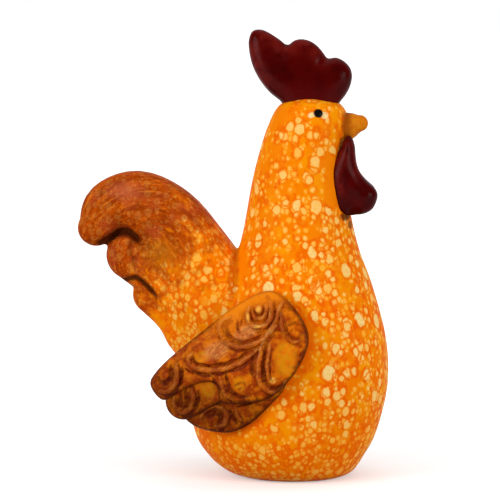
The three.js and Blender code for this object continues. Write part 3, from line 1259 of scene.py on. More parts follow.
    def material(self) -> Material:
        """Builds the stained glaze.

        Returns:
            The material.
        """
        graph = Graph("wing_stain")
        place = graph.place()
        x, y, z = graph.axes(place)
        level, rise = self.lean
        along = graph.math("MULTIPLY_ADD", z, rise, graph.times(x, level))
        aside = graph.math("MULTIPLY_ADD", x, -rise, graph.times(z, level))
        fine = graph.cloud(graph.bundle(graph.times(along, self.sweep), y, aside), self.fine)
        warm = graph.cloud(place, self.warm)
        colour = self._glaze(graph, place, warm)
        colour = self._rubbed(graph, colour, warm, fine)
        return graph.finish(
            Base_Color=self._stained(graph, place, colour, fine),
            Roughness=self.roughness,
            Specular_IOR_Level=self.specular,
            Normal=graph.bump(fine, self.fine_depth, self.fine_strength),
        )


@dataclass(frozen=True)
class Oxblood:
    """Dark red satin glaze of the comb and wattles, with painted highlight."""

    red: Colour = hue("4A0100")
    dark: Colour = hue("340000")
    # Red of the painted highlight on the upper-left edges and along the gleam.
    worn: Colour = hue("6C140E")
    specular: float = 0.045
    depth: Cloud = Cloud(14.0, Ramp(0.34, 0.66))
    thin: Cloud = Cloud(5.0, Ramp(0.34, 0.62, 0.15, 0.75))
    satin: Cloud = Cloud(3.0, Ramp(0.3, 0.7, 0.18, 0.3))
    skin: Skin = Skin(2.2, 3.0, 0.05, 0.5)

    def material(self) -> Material:
        """Builds the red glaze.

        Returns:
            The material.
        """
        graph = Graph("oxblood")
        place = graph.place()
        colour = graph.mix(graph.cloud(place, self.depth), self.red, self.dark)
        # Painted highlight, broken up by a cloud.
        thin = graph.times(graph.painted("worn"), graph.cloud(place, self.thin))
        return graph.finish(
            Base_Color=graph.mix(thin, colour, self.worn),
            Roughness=graph.cloud(place, self.satin),
            Specular_IOR_Level=self.specular,
            Normal=self.skin.normal(graph, place),
        )


@dataclass(frozen=True)
class Ochre:
    """Ochre glaze of the beak, with painted shade browning its root."""

    ochre: Colour = hue("CE6E06")
    pale: Colour = hue("DA800C")
    # Brown of the painted shade at the root.
    root: Colour = hue("9E4A04")
    roughness: float = 0.45
    specular: float = 0.04
    mottle: Cloud = Cloud(2.5, Ramp(0.4, 0.62), 3.0)
    root_wobble: Pair = (2.0, 0.5)
    root_reach: Ramp = Ramp(54.4, 51.4, 0.0, 1.0)
    root_shade: float = 0.8

    def material(self) -> Material:
        """Builds the ochre glaze.

        Returns:
            The material.
        """
        graph = Graph("beak_ochre")
        place = graph.place()
        x, _, _ = graph.axes(graph.drift(place, self.root_wobble))
        colour = graph.mix(graph.cloud(place, self.mottle), self.ochre, self.pale)
        # Painted shade: the root, where the beak meets the head, browns.
        root = graph.times(graph.ramp(x, self.root_reach), self.root_shade)
        return graph.finish(
            Base_Color=graph.mix(root, colour, self.root),
            Roughness=self.roughness,
            Specular_IOR_Level=self.specular,
        )


@dataclass(frozen=True)
class Enamel:
    """Black enamel of the eyes."""

    black: Colour = hue("0B0909")
    brown: Colour = hue("140C08")
    roughness: float = 0.25
    specular: float = 0.06
    mottle: Cloud = Cloud(0.9, Ramp(0.4, 0.6))

    def material(self) -> Material:
        """Builds the enamel.

        Returns:
            The material.
        """
        graph = Graph("black_enamel")
        colour = graph.mix(graph.cloud(graph.place(), self.mottle), self.black, self.brown)
        return graph.finish(
            Base_Color=colour, Roughness=self.roughness, Specular_IOR_Level=self.specular
        )


@dataclass(frozen=True)
class BareClay:
    """Unglazed fired clay of the slab under the foot."""

    clay: Colour = hue("BC7A54")
    dark: Colour = hue("8E5436")
    roughness: float = 0.9
    burnt: Cloud = Cloud(5.0, Ramp(0.35, 0.65), 3.0)
    grit: Cloud = Cloud(0.7, Ramp(0.58, 0.72), 4.0, 0.7)
    grit_depth: float = 0.1
    grit_strength: float = 0.7

    def material(self) -> Material:
        """Builds the clay.

        Returns:
            The material.
        """
        graph = Graph("bare_clay")
        place = graph.place()
        grit = graph.noise(place, self.grit.grain, self.grit.detail, self.grit.roughness)
        colour = graph.mix(graph.cloud(place, self.burnt), self.clay, self.dark)
        colour = graph.mix(graph.ramp(grit, self.grit.ramp), colour, self.dark)
        return graph.finish(
            Base_Color=colour,
            Roughness=self.roughness,
            Normal=graph.bump(grit, self.grit_depth, self.grit_strength),
        )


def dress(item: Piece, slot: Slot, material: Material, *nodes: str) -> None:
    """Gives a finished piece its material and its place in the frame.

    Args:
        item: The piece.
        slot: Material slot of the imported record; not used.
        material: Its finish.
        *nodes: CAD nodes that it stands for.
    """
    item.data.materials.clear()
    item.data.materials.append(material)
    Bench.pick(item)
    bpy.ops.object.shade_smooth()
    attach(item, "root")
    if nodes:
        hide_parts(*nodes)
    LOG.info("%s: %d faces for %s", item.name, len(item.data.polygons), ", ".join(nodes) or "itself")


class Cut(Enum):
    """What a tool leaves in the clay."""

    RIDGE = "ridge"
    GROOVE = "groove"


@dataclass(frozen=True)
class Stroke:
    """One stroke of the modelling tool on a wing: path from the wing's middle, half width, height."""

    path: Path
    cut: Cut = Cut.RIDGE
    width: float = 1.25
    height: float = 0.7

    TAPER = 0.45
    TAPER_POWER = 4
    TOP = 0.45

    def height_at(self, places: Array) -> tuple[Array, Array]:
        """Measures the stroke at places on the wing.

        Args:
            places: Rows of x and z.

        Returns:
            How high or deep the stroke is there, and how far off its own width the place lies.
        """
        gap, along = Sheet.nearest(places, smooth_line(self.path))
        fullness = 1 - self.TAPER * (2 * along - 1) ** self.TAPER_POWER
        reach = gap / (self.width * fullness)
        return smoothstep(1.0, self.TOP, reach) * self.height * fullness, reach


@dataclass(frozen=True)
class Pocket:
    """A round patch between the scrolls: middle, half sizes and lean in degrees."""

    x: float
    z: float
    length: float
    height: float
    lean: float = 0.0

    FULL = 0.4

    def depth(self, places: Array) -> Array:
        """Measures how deep in the patch places lie.

        Args:
            places: Rows of x and z from the middle of the wing.

        Returns:
            Depth of each place, 0 to 1.
        """
        offset = places - (self.x, self.z)
        turn = math.radians(self.lean)
        along = offset[:, 0] * math.cos(turn) + offset[:, 1] * math.sin(turn)
        aside = offset[:, 1] * math.cos(turn) - offset[:, 0] * math.sin(turn)
        return smoothstep(1.0, self.FULL, np.hypot(along / self.length, aside / self.height))


@dataclass(frozen=True)
class Slab:
    """One slab of a wing: its outline from the wing's middle, depth under the top one, and marks."""

    name: str
    node: str
    outline: Path
    depth: float
    sheet: float
    strokes: tuple[Stroke, ...]
    pockets: tuple[Pocket, ...] = ()
    rosy_highlights: tuple[Pocket, ...] = ()
    brights: tuple[Pocket, ...] = ()


def capsule(tip: Pair, root: Pair, half: float, points: int = 12) -> Path:
    """Outlines a feather with parallel edges and round ends.

    Args:
        tip: Centre of the free end.
        root: Centre of the end under the cover.
        half: Half width.
        points: Points on each end.

    Returns:
        The outline.
    """
    lean = math.atan2(root[1] - tip[1], root[0] - tip[0])
    outline = []
    for centre, start in ((tip, lean + math.pi / 2), (root, lean - math.pi / 2)):
        for step in range(points + 1):
            turn = start + math.pi * step / points
            outline.append((centre[0] + half * math.cos(turn), centre[1] + half * math.sin(turn)))
    return tuple(outline)


WING_CENTRE = (2.0, 48.0)
COVER_OUTLINE = (
    (-60, -4), (-56.4, 2.6), (-36.5, 20), (-17, 34.5), (-5.5, 38), (6, 29), (10.8, 18.2), (6, 5),
    (-6, -7.5), (-15, -9.6), (-22.5, -10.3), (-27.2, -9.6), (-28.3, -6.4), (-29, -2.8),
    (-31.4, -1.2), (-36.4, -1.6), (-47, -6.9), (-54.2, -10.6),
)
TOP_SPIRAL = (
    Stroke(
        (
            (-6.3, 34.2), (-5.7, 32.6), (-5.3, 30.4), (-5.6, 27.4), (-7.2, 24.9), (-10.0, 23.5),
            (-13.0, 23.8), (-15.3, 26.0), (-15.9, 28.9), (-14.9, 31.6),
        )
    ),
    Stroke(
        ((-7.9, 32.6), (-7.6, 30.2), (-8.4, 27.9), (-10.4, 26.8), (-12.6, 27.6), (-13.6, 29.8)),
        width=1.05,
        height=0.6,
    ),
    Stroke(((-11.6, 31.8), (-10.5, 30.0)), width=1.6, height=1.2),
    Stroke(
        ((-13.2, 32.2), (-12.7, 29.9), (-11.7, 28.4), (-9.9, 28.2), (-8.9, 29.8), (-9.2, 32.4)),
        Cut.GROOVE,
        0.7,
    ),
    Stroke(
        ((-14.6, 30.0), (-14.1, 27.0), (-12.1, 25.3), (-9.4, 25.0), (-7.3, 26.5), (-6.6, 29.4)),
        Cut.GROOVE,
        0.65,
    ),
    Stroke(((-4.5, 34.4), (-3.9, 30.4), (-4.2, 27.4), (-5.6, 24.6), (-8.4, 22.2)), Cut.GROOVE, 0.8),
    Stroke(((-8.0, 36.4), (-6.4, 35.2)), Cut.GROOVE, 1.2),
)
UPPER_SCROLL = (
    Stroke(
        (
            (-2.8, 23.9), (-8.1, 19.0), (-13.5, 15.8), (-19.0, 14.7), (-23.4, 15.9), (-26.7, 19.3),
            (-28.0, 23.0), (-26.6, 25.8), (-23.4, 27.0),
        )
    ),
    Stroke(
        (
            (-9.8, 19.8), (-13.5, 17.6), (-17.9, 16.7), (-22.0, 17.8), (-24.6, 21.0), (-24.3, 24.2),
            (-22.6, 25.4),
        ),
        Cut.GROOVE,
        1.2,
    ),
    Stroke(((-20.2, 26.0), (-20.0, 22.8), (-18.6, 20.6)), Cut.GROOVE, 0.8),
    Stroke(((-18.2, 26.4), (-18.4, 24.0)), Cut.GROOVE, 0.7),
)
STEM = (
    Stroke(
        (
            (-0.9, 34.0), (-2.2, 30.6), (-3.6, 25.9), (-5.6, 22.0), (-7.9, 18.0), (-9.6, 12.0),
            (-10.3, 6.0), (-10.0, 1.0), (-8.2, -2.6), (-5.2, -4.4), (-2.2, -4.0), (0.2, -2.0),
            (1.4, 0.6),
        )
    ),
    Stroke(((-12.6, 12.0), (-13.4, 7.2), (-12.9, 2.6)), Cut.GROOVE, 1.3),
    Stroke(
        ((-7.2, 15.4), (-8.3, 9.6), (-8.3, 4.4), (-7.4, 0.9), (-5.0, -2.0), (-2.0, -2.2)),
        Cut.GROOVE,
        1.1,
    ),
    Stroke(((-5.4, 16.6), (-6.4, 9.6), (-6.5, 4.4), (-5.4, 1.2)), Cut.RIDGE, 0.8, 0.5),
)
LONG_SCROLL = (
    Stroke(
        (
            (-11.0, 14.0), (-14.5, 10.7), (-20.0, 7.2), (-26.6, 4.9), (-33.3, 4.2), (-38.6, 5.0),
            (-41.4, 7.2), (-41.6, 9.6), (-40.0, 11.2),
        )
    ),
    Stroke(
        ((-14.0, 13.4), (-21.1, 9.0), (-27.7, 6.9), (-34.4, 6.2), (-38.6, 7.4), (-39.4, 9.4)),
        Cut.GROOVE,
        0.9,
    ),
    Stroke(((-43.6, 4.4), (-38.5, 2.4), (-31.0, 1.4)), Cut.GROOVE, 0.65),
)
FRONT_CURL = (
    Stroke(
        ((-1.2, 29.6), (-0.8, 25.4), (0.4, 21.8), (2.4, 19.0), (5.0, 17.2), (7.2, 17.9)),
        Cut.RIDGE,
        0.95,
        0.6,
    ),
    Stroke(
        ((1.0, 25.4), (1.4, 22.2), (3.2, 19.6), (5.8, 18.4), (7.5, 19.6), (7.2, 22.0), (5.4, 22.6)),
        Cut.GROOVE,
        1.0,
    ),
    Stroke(((2.2, 24.2), (4.6, 25.2), (7.0, 24.4)), Cut.GROOVE, 0.8),
)
LOWER_CURL = (
    Stroke(((-24.6, 3.6), (-24.3, -0.1), (-22.6, -4.4), (-19.0, -6.6), (-14.6, -6.4)), Cut.GROOVE, 1.2),
    Stroke(((-21.0, -2.2), (-19.1, -1.0), (-16.9, -1.0), (-16.0, -2.8)), Cut.GROOVE, 0.8, 0.35),
    Stroke(((-19.6, -3.8), (-17.8, -2.8)), Cut.GROOVE, 0.7, 0.35),
    Stroke(((-27.6, 1.6), (-26.2, -2.9), (-24.6, -6.4), (-21.6, -8.4)), Cut.RIDGE, 1.1, 0.7),
    Stroke(((-30.4, 1.0), (-29.2, -2.6), (-28.4, -5.6)), Cut.GROOVE, 1.1),
)
TIP_CURL = (
    Stroke(((-47.4, 6.6), (-46.8, 1.6), (-48.0, -3.4), (-51.4, -6.4), (-55.2, -6.6))),
    Stroke(((-49.8, 5.0), (-49.8, 0.4), (-51.8, -2.4), (-54.6, -2.4), (-55.4, -0.4)), Cut.GROOVE, 1.6),
    Stroke(((-44.9, 5.2), (-44.4, 1.0), (-45.6, -3.2)), Cut.GROOVE, 0.9),
)
COVER_STROKES = TOP_SPIRAL + UPPER_SCROLL + STEM + LONG_SCROLL + FRONT_CURL + LOWER_CURL + TIP_CURL
COVER_POCKETS = (
    Pocket(1.4, 10.0, 6.2, 11.0),
    Pocket(-35.5, 9.6, 4.6, 3.4, 20.0),
    Pocket(-18.8, -1.4, 3.6, 4.6),
)
# Painted highlight: pinkish sheen in two places between the scrolls.
COVER_ROSY_HIGHLIGHTS = (
    Pocket(-29.3, 12.8, 8.0, 4.6, 25.0),
    Pocket(-16.4, 20.8, 7.0, 4.0, 25.0),
)
# Pale golden spots: the knob in the top spiral, the left side of its ring as painted highlight, below
# the ring, and inside the stem's lower hook.
COVER_BRIGHTS = (
    Pocket(-10.9, 30.6, 1.5, 2.1),
    Pocket(-15.5, 27.4, 0.95, 2.4, 8.0),
    Pocket(-11.4, 23.5, 2.4, 0.75, 4.0),
    Pocket(-4.2, 0.8, 2.0, 1.8),
)
MIDDLE_OUTLINE = capsule((-45.4, -11.4), (-20, 3.2), 7.6)
LOWER_OUTLINE = (
    (-44.8, -17.4), (-41.4, -21.0), (-36.4, -23.0), (-30.0, -24.0), (-24.5, -23.9), (-19.0, -22.0),
    (-13.6, -18.6), (-9.2, -14.4), (-4.8, -9.8), (-0.4, -4.8), (1.4, 0.5), (-3.0, 6.0),
    (-12.0, 7.0), (-24.0, 1.5), (-34.0, -5.0), (-42.0, -11.5),
)
MIDDLE_STROKES = (
    Stroke(
        (
            (-48.7, -8.8), (-48.0, -12.8), (-44.8, -15.6), (-41.2, -13.2), (-39.8, -8.4),
            (-40.2, -4.6),
        )
    ),
    Stroke(
        ((-45.6, -7.6), (-45.4, -11.6), (-43.4, -12.4), (-42.6, -8.8), (-43.2, -5.4)),
        Cut.GROOVE,
        1.7,
    ),
    Stroke(((-37.6, -5.0), (-37.2, -9.4), (-38.6, -13.6)), Cut.GROOVE, 1.0),
)
LOWER_STROKES = (
    Stroke(
        (
            (-36.8, -17.4), (-34.0, -13.6), (-30.4, -12.0), (-26.8, -13.2), (-25.0, -16.4),
            (-26.4, -20.0), (-29.8, -21.2),
        )
    ),
    Stroke(((-33.4, -17.4), (-30.4, -14.8), (-27.8, -16.4), (-28.6, -19.0)), Cut.GROOVE, 1.6),
    Stroke(((-23.4, -13.2), (-22.4, -16.6), (-20.6, -19.2)), Cut.GROOVE, 1.0),
    Stroke(((-20.8, -13.4), (-19.8, -16.4), (-18.4, -18.4)), Cut.RIDGE, 0.9, 0.6),
    Stroke(((-20.3, -11.6), (-16.0, -10.4), (-12.2, -8.4)), Cut.GROOVE, 0.9),
)


class Figure:
    """Places on the figure that its pieces are measured from, in row millimetres."""

    def __init__(self) -> None:
        """Finds the figure's own middle line from the slab under its foot."""
        low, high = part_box("base_slab")
        self.shift = (low.x + high.x) / 2 / MM - FOOT_CENTRE

    def at(self, x: float, z: float) -> Pair:
        """Takes a place from the figure's own x to the row's."""
        return (x + self.shift, z)


@dataclass(frozen=True)
class Patch:
    """A place on both sides of the figure where its glaze differs: middle, half sizes and how much."""

    middle: Triple
    reach: Triple
    amount: float = 1.0

    FULL = 0.5

    def share(self, places: Array, figure: Figure) -> Array:
        """Measures how much of the difference falls on places.

        Args:
            places: Rows of x, y and z in row millimetres.
            figure: Places on the figure.

        Returns:
            The amount at each place.
        """
        x, z = figure.at(self.middle[0], self.middle[2])
        folded = np.stack([places[:, 0], -np.abs(places[:, 1]), places[:, 2]], axis=1)
        offset = (folded - (x, self.middle[1], z)) / self.reach
        return self.amount * smoothstep(1.0, self.FULL, np.linalg.norm(offset, axis=1))


@dataclass(frozen=True)
class Crease:
    """A crease between two plumes of the tail: its path, half width and depth."""

    path: Path
    width: float
    depth: float


@dataclass
class GlazedSkin:
    """The glazed body with the tail that grows out of it."""

    sections: tuple[Stop, ...] = (
        (0, -20.3, 24.3, 20), (2.6, -27.6, 29.6, 26), (8.9, -35.2, 34, 32), (20, -41.8, 39.8, 37),
        (41, -44.2, 44.8, 40.5), (62, -38.5, 44, 38.5), (85, -28.4, 38, 30.5),
        (105.3, -21, 30.8, 24.5), (132, -15.9, 25.6, 19.3), (148, -11.8, 25.4, 17),
        (159, -7.9, 26.8, 15.1), (165.5, -4, 24.2, 12.4), (168.6, 1.4, 18.6, 6.5),
    )
    steps: int = 5
    crown: float = 169.4
    crown_steps: Triple = (0.4, 0.75, 0.98)
    vent_radius: float = 5.3
    vent_top: float = 26.0
    recess_top: float = 5.7
    recess_inset: float = 2.6
    rump: Pair = (-44.2, 41.0)
    tail: tuple[Horn, ...] = (
        Horn(
            "tail_upper",
            (
                (18.2, 29, 20, 24), (1.7, 57, 17.4, 17.5), (-10.8, 74.3, 15.3, 13.2),
                (-24.4, 82, 13.2, 10.8), (-36.6, 78.5, 11.4, 9), (-42.3, 69.3, 8.2, 6.8),
            ),
            TAIL_CORNER,
        ),
        Horn(
            "tail_middle",
            ((20.2, 21, 17, 25), (-7.8, 48, 15, 13.2), (-26.4, 57.4, 11.2, 8.4)),
            TAIL_CORNER,
        ),
        Horn(
            "tail_lower",
            (
                (28.2, 3, 18, 27), (0.2, 28.5, 14.8, 14.0), (-8.3, 34.4, 10.6, 10.2),
                (-16.8, 39.8, 8.9, 6.8),
            ),
            TAIL_CORNER,
        ),
        Horn(
            "tail_web",
            ((24, 16, 20, 26), (2, 42, 19, 16.2), (-12, 52, 12, 11.6)),
            TAIL_CORNER,
            blunt=0.8,
        ),
        Horn("tail_core", ((-4, 60, 8, 8), (-18, 66, 7, 6.5), (-27, 66.5, 5.5, 5)), TAIL_CORNER),
    )
    grain: float = 0.9
    strokes: int = 4
    root_centre: Triple = (-30.0, 0.0, 72.0)
    root_reach: Triple = (24.0, 45.0, 34.0)
    root_full: float = 0.45
    root_strokes: int = 60
    creases: tuple[Crease, ...] = (
        Crease(
            (
                (-84, 103.6), (-79.4, 106.4), (-75.4, 108.6), (-72, 109.0), (-68.9, 107.6),
                (-66, 104.6), (-63.6, 101),
            ),
            3.6,
            2.2,
        ),
        Crease(
            ((-73, 87.2), (-69.6, 88.4), (-66.6, 88.6), (-62.4, 85.6), (-58.6, 81.6), (-54.6, 77.0)),
            2.2,
            2.2,
        ),
        Crease(((-69.4, 107.2), (-69.4, 101.6), (-68.6, 96.2), (-66.8, 91.0)), 2.4, 0.9),
    )
    crease_end: Pair = (1.0, 0.7)
    crease_sides: Pair = (0.25, 0.7)
    crease_black: float = 2.4
    crease_dark: Pair = (0.1, 0.8)
    hollow_strokes: int = 10
    hollow_depth: float = 1.6
    calm: tuple[Patch, ...] = (
        Patch((20.2, -14.0, 133.0), (3.4, 10.0, 17.0)),
        Patch((-3.0, -8.0, 162.0), (8.0, 16.0, 8.0)),
        Patch((-58.0, 0.0, 66.0), (10.0, 40.0, 13.0)),
        Patch((-20.0, -16.0, 96.0), (3.6, 20.0, 14.0)),
    )
    busy: tuple[Patch, ...] = (
        Patch((13.0, -14.0, 151.0), (12.0, 12.0, 10.0), 0.3),
        Patch((3.0, -16.0, 130.0), (12.0, 20.0, 14.0), 0.2),
        Patch((-2.0, -20.0, 104.0), (15.0, 26.0, 15.0), -1.1),
        Patch((24.0, -24.0, 108.0), (14.0, 24.0, 20.0), 0.5),
        Patch((2.0, -20.0, 4.0), (60.0, 60.0, 22.0), -0.4),
        Patch((-34.0, 0.0, 76.0), (18.0, 40.0, 24.0), 0.3),
        Patch((-8.0, -14.0, 124.0), (6.0, 20.0, 28.0), -0.6),
    )
    wash_start: Pair = (-25.0, 79.0)
    wash_end: Pair = (-62.0, 119.0)
    wash_fade: Pair = (-0.1, 1.1)
    notch: Pair = (-18.0, -23.0)
    lower_tip: Pair = (-65.0, 80.0)
    lower_reach: Pair = (15.0, 14.0)
    lower_full: float = 0.35
    lower_wash: float = 0.62
    small_back: Pair = (-16.0, -32.0)
    small_foot: Pair = (48.0, 16.0)
    bleed_reach: Pair = (5.0, 0.5)
    bleed_from: Pair = (-20.0, 60.0)
    bleed_lean: Pair = (0.6, -0.8)
    bleed_fade: Pair = (-14.0, 14.0)
    bleed_sides: Pair = (15.0, 25.0)

    LEAST_WEIGHT = 0.01

    def _torso(self, figure: Figure) -> Piece:
        """Lofts the body from the vent in its foot, round the foot ring and up to the crown.

        Args:
            figure: Places on the figure.

        Returns:
            The body.
        """
        x, _ = figure.at(FOOT_CENTRE, 0.0)
        _, back, front, half = self.sections[0]
        length = (front - back) / 2 - self.recess_inset
        width = half - self.recess_inset
        loft = Loft("glazed_body", Ring(x, self.vent_top, self.vent_radius, self.vent_radius))
        loft.grow(Ring(x, self.recess_top, self.vent_radius, self.vent_radius))
        loft.grow(Ring(x, self.recess_top, length, width))
        loft.grow(Ring(x, 0.0, length, width))
        count = (len(self.sections) - 1) * self.steps
        for step in range(count + 1):
            z, back, front, half = spline(self.sections, step / count, Knots.EVEN)
            middle, _ = figure.at((back + front) / 2, z)
            loft.grow(Ring(middle, z, (front - back) / 2, half))
        end = loft.last
        for share in self.crown_steps:
            shrink = math.sqrt(1 - share**2)
            rise = end.z + (self.crown - end.z) * share
            loft.grow(Ring(end.x, rise, end.half * shrink, end.thick * shrink))
        return loft.close()

    def _fillet(self, item: Piece, figure: Figure) -> None:
        """Wipes the join of tail and body smooth, as a wet sponge would.

        Args:
            item: The skin.
            figure: Places on the figure.
        """
        x, z = figure.at(self.root_centre[0], self.root_centre[2])
        offset = (Bench.points(item) - (x, self.root_centre[1], z)) / self.root_reach
        weight = smoothstep(1.0, self.root_full, np.linalg.norm(offset, axis=1))
        group = item.vertex_groups.new(name="root")
        for index in np.flatnonzero(weight > self.LEAST_WEIGHT):
            group.add([int(index)], float(weight[index]), "REPLACE")
        Bench.smooth(item, self.root_strokes, group.name)

    def build(self, figure: Figure) -> Piece:
        """Models the body and the tail and kneads them into one skin.

        Args:
            figure: Places on the figure.

        Returns:
            The skin.
        """
        seat = figure.at(*self.rump)
        forms = [self._torso(figure)] + [horn.build(seat) for horn in self.tail]
        skin = Bench.join("glazed_body", *forms)
        Bench.knead(skin, self.grain, self.strokes)
        self._fillet(skin, figure)
        return skin

    def _crease(self, skin: Piece, figure: Figure) -> Array:
        """Presses the creases between the plumes into both sides of the tail.

        Args:
            skin: The skin.
            figure: Places on the figure.

        Returns:
            How dark the painted shade in a crease is at each vertex, 0 to 1.
        """
        places = Bench.points(skin)
        depth = np.zeros(len(places))
        dark = np.zeros(len(places))
        for crease in self.creases:
            line = smooth_line([figure.at(*point) for point in crease.path])
            gap, along = Sheet.nearest(places[:, [0, 2]], line)
            press = smoothstep(crease.width, 0.0, gap) * smoothstep(*self.crease_end, along)
            depth = np.maximum(depth, press * crease.depth)
            dark = np.maximum(dark, press * min(crease.depth / self.crease_black, 1.0))
        sides = smoothstep(*self.crease_sides, np.abs(Bench.normals(skin)[:, 1]))
        sunk = places.copy()
        sunk[:, 1] -= np.sign(places[:, 1]) * depth * sides
        Bench.place(skin, sunk)
        return dark

    def _wash(self, places: Array, figure: Figure) -> Array:
        """Works out where the brown wash lies: on the tail, and on the tip of its lowest plume.

        Args:
            places: Rows of x, y and z in row millimetres.
            figure: Places on the figure.

        Returns:
            How washed each place is, 0 to 1.
        """
        plan = places[:, [0, 2]]
        start = np.array(figure.at(*self.wash_start))
        run = np.array(figure.at(*self.wash_end)) - start
        along = (plan - start) @ run / (run @ run)
        notch = [x + figure.shift for x in self.notch]
        wash = smoothstep(*self.wash_fade, along) * smoothstep(*notch, places[:, 0])
        tip = np.linalg.norm((plan - figure.at(*self.lower_tip)) / self.lower_reach, axis=1)
        return np.maximum(wash, self.lower_wash * smoothstep(1.0, self.lower_full, tip))

    def _small(self, places: Array, figure: Figure) -> Array:
        """Works out where only small bubbles lie: on the rump and the foot.

        Args:
            places: Rows of x, y and z in row millimetres.
            figure: Places on the figure.

        Returns:
            How small the bubbles are at each place, 0 to 1.
        """
        back = [x + figure.shift for x in self.small_back]
        rump = smoothstep(*back, places[:, 0])
        return np.maximum(rump, smoothstep(*self.small_foot, places[:, 2]))

    def _bleed_and_shade(self, places: Array, figure: Figure) -> Array:
        """Works out where the glaze in front of and below the wings is redder, with painted shade, and
        holds fewer bubbles.

        Args:
            places: Rows of x, y and z in row millimetres.
            figure: Places on the figure.

        Returns:
            How reddened each place is, 0 to 1.
        """
        plan = places[:, [0, 2]]
        bleed_and_shade = np.zeros(len(places))
        for outline in (COVER_OUTLINE, LOWER_OUTLINE):
            gap, _ = Sheet.nearest(plan, Sheet.rim(outline) + figure.at(*WING_CENTRE))
            bleed_and_shade = np.maximum(bleed_and_shade, smoothstep(*self.bleed_reach, gap))
        ahead = (plan - figure.at(*self.bleed_from)) @ np.array(self.bleed_lean)
        bleed_and_shade *= smoothstep(*self.bleed_fade, ahead)
        return bleed_and_shade * smoothstep(*self.bleed_sides, np.abs(places[:, 1]))

    def dress(self, skin: Piece, figure: Figure) -> None:
        """Presses the creases, paints what the glaze reads and glazes the skin.

        Args:
            skin: The skin.
            figure: Places on the figure.
        """
        # Painted shade for the creases and the hollows, stored as the hollow attribute.
        creased = smoothstep(*self.crease_dark, self._crease(skin, figure))
        hollow = Bench.hollows(skin, self.hollow_strokes, self.hollow_depth)
        places = Bench.points(skin)
        calm = [patch.share(places, figure) for patch in self.calm]
        busy = [patch.share(places, figure) for patch in self.busy]
        Bench.paint(skin, "wash", self._wash(places, figure))
        Bench.paint(skin, "hollow", np.clip(hollow + creased, 0.0, 1.0))
        Bench.paint(skin, "calm", np.max(calm, axis=0))
        Bench.paint(skin, "busy", np.sum(busy, axis=0))
        Bench.paint(skin, "small", self._small(places, figure))
        # Painted shade round the wings' lower and front edges; it also thins the bubbles there.
        Bench.paint(skin, "bleed_and_shade", self._bleed_and_shade(places, figure))
        dress(
            skin,
            Slot.GLAZE,
            SpottedGlaze().material(),
            "body_right_half",
            "body_left_half",
            "tail_upper_plume",
            "tail_middle_plume",
            "tail_lower_plume",
        )


@dataclass(frozen=True)
class Cushion:
    """A swollen lobe of clay, drawn by its outline from a seat, with valleys pressed into its edge."""

    name: str
    outline: Path
    half_thick: float
    rim: float
    valleys: tuple[Path, ...]
    valley_width: float
    valley_depth: float
    thin_top: float = 0.0
    # Painted highlight: shift of the lit line that picks the upper-left edges, and the gleam streak.
    highlight_from: float = 0.0
    gleam: Path = ()
    grain: float = 0.45

    SHEET = 1.6
    EDGE = 0.5
    STROKES = 10
    LEAST_INSET = 0.02
    THIN_REACH = (4.0, 30.0)
    LIT_LEAN = 0.55
    LIT_REACH = (0.0, 24.0)
    HIGHLIGHT_PAST = 2.0
    HIGHLIGHT_FULL = 1.0
    GLEAM_REACH = (2.6, 0.2)
    GLEAM_ENDS = (0.5, 0.2)

    def build(self, seat: Pair, side: float = 0.0) -> Piece:
        """Cuts the lobe out of a thin sheet, swells it and presses its valleys.

        Args:
            seat: Row x and z that the outline is measured from.
            side: Side step of its middle plane.

        Returns:
            The lobe.
        """
        lobe = Sheet.cut(self.name, self.outline, self.SHEET, self.EDGE, self.grain)
        flat = Bench.points(lobe)
        plan = flat[:, :2]
        inset, _ = Sheet.nearest(plan, Sheet.rim(self.outline))
        swell = np.sqrt(1 - (1 - np.clip(inset / self.rim, self.LEAST_INSET, 1.0)) ** 2)
        thin = 1 - self.thin_top * smoothstep(*self.THIN_REACH, plan[:, 1])
        thick = self.half_thick * thin * swell
        for valley in self.valleys:
            gap, along = Sheet.nearest(plan, np.array(valley))
            thick -= self.valley_depth * smoothstep(self.valley_width, 0.0, gap) * (1 - along)
        across = side - np.sign(flat[:, 2]) * thick
        Bench.place(lobe, np.stack([plan[:, 0] + seat[0], across, plan[:, 1] + seat[1]], axis=1))
        Bench.knead(lobe, self.grain, self.STROKES)
        # Painted highlight on the upper-left edges and along the gleam.
        Bench.paint(lobe, "worn", self._highlight(Bench.points(lobe)[:, [0, 2]] - seat))
        return lobe

    def _highlight(self, plan: Array) -> Array:
        """Works out the painted highlight: along the upper-left edge, where the light falls, and on the
        gleam.

        Args:
            plan: Rows of x and z from the seat.

        Returns:
            How strong the painted highlight is at each place, 0 to 1.
        """
        inset, _ = Sheet.nearest(plan, Sheet.rim(self.outline))
        lit = plan[:, 1] - self.LIT_LEAN * plan[:, 0] + self.highlight_from
        worn = smoothstep(self.rim + self.HIGHLIGHT_PAST, self.HIGHLIGHT_FULL, inset)
        worn *= smoothstep(*self.LIT_REACH, lit)
        if self.gleam:
            gap, along = Sheet.nearest(plan, np.array(self.gleam))
            ends = smoothstep(*self.GLEAM_ENDS, np.abs(along - 0.5))
            worn = np.maximum(worn, smoothstep(*self.GLEAM_REACH, gap) * ends)
        return worn


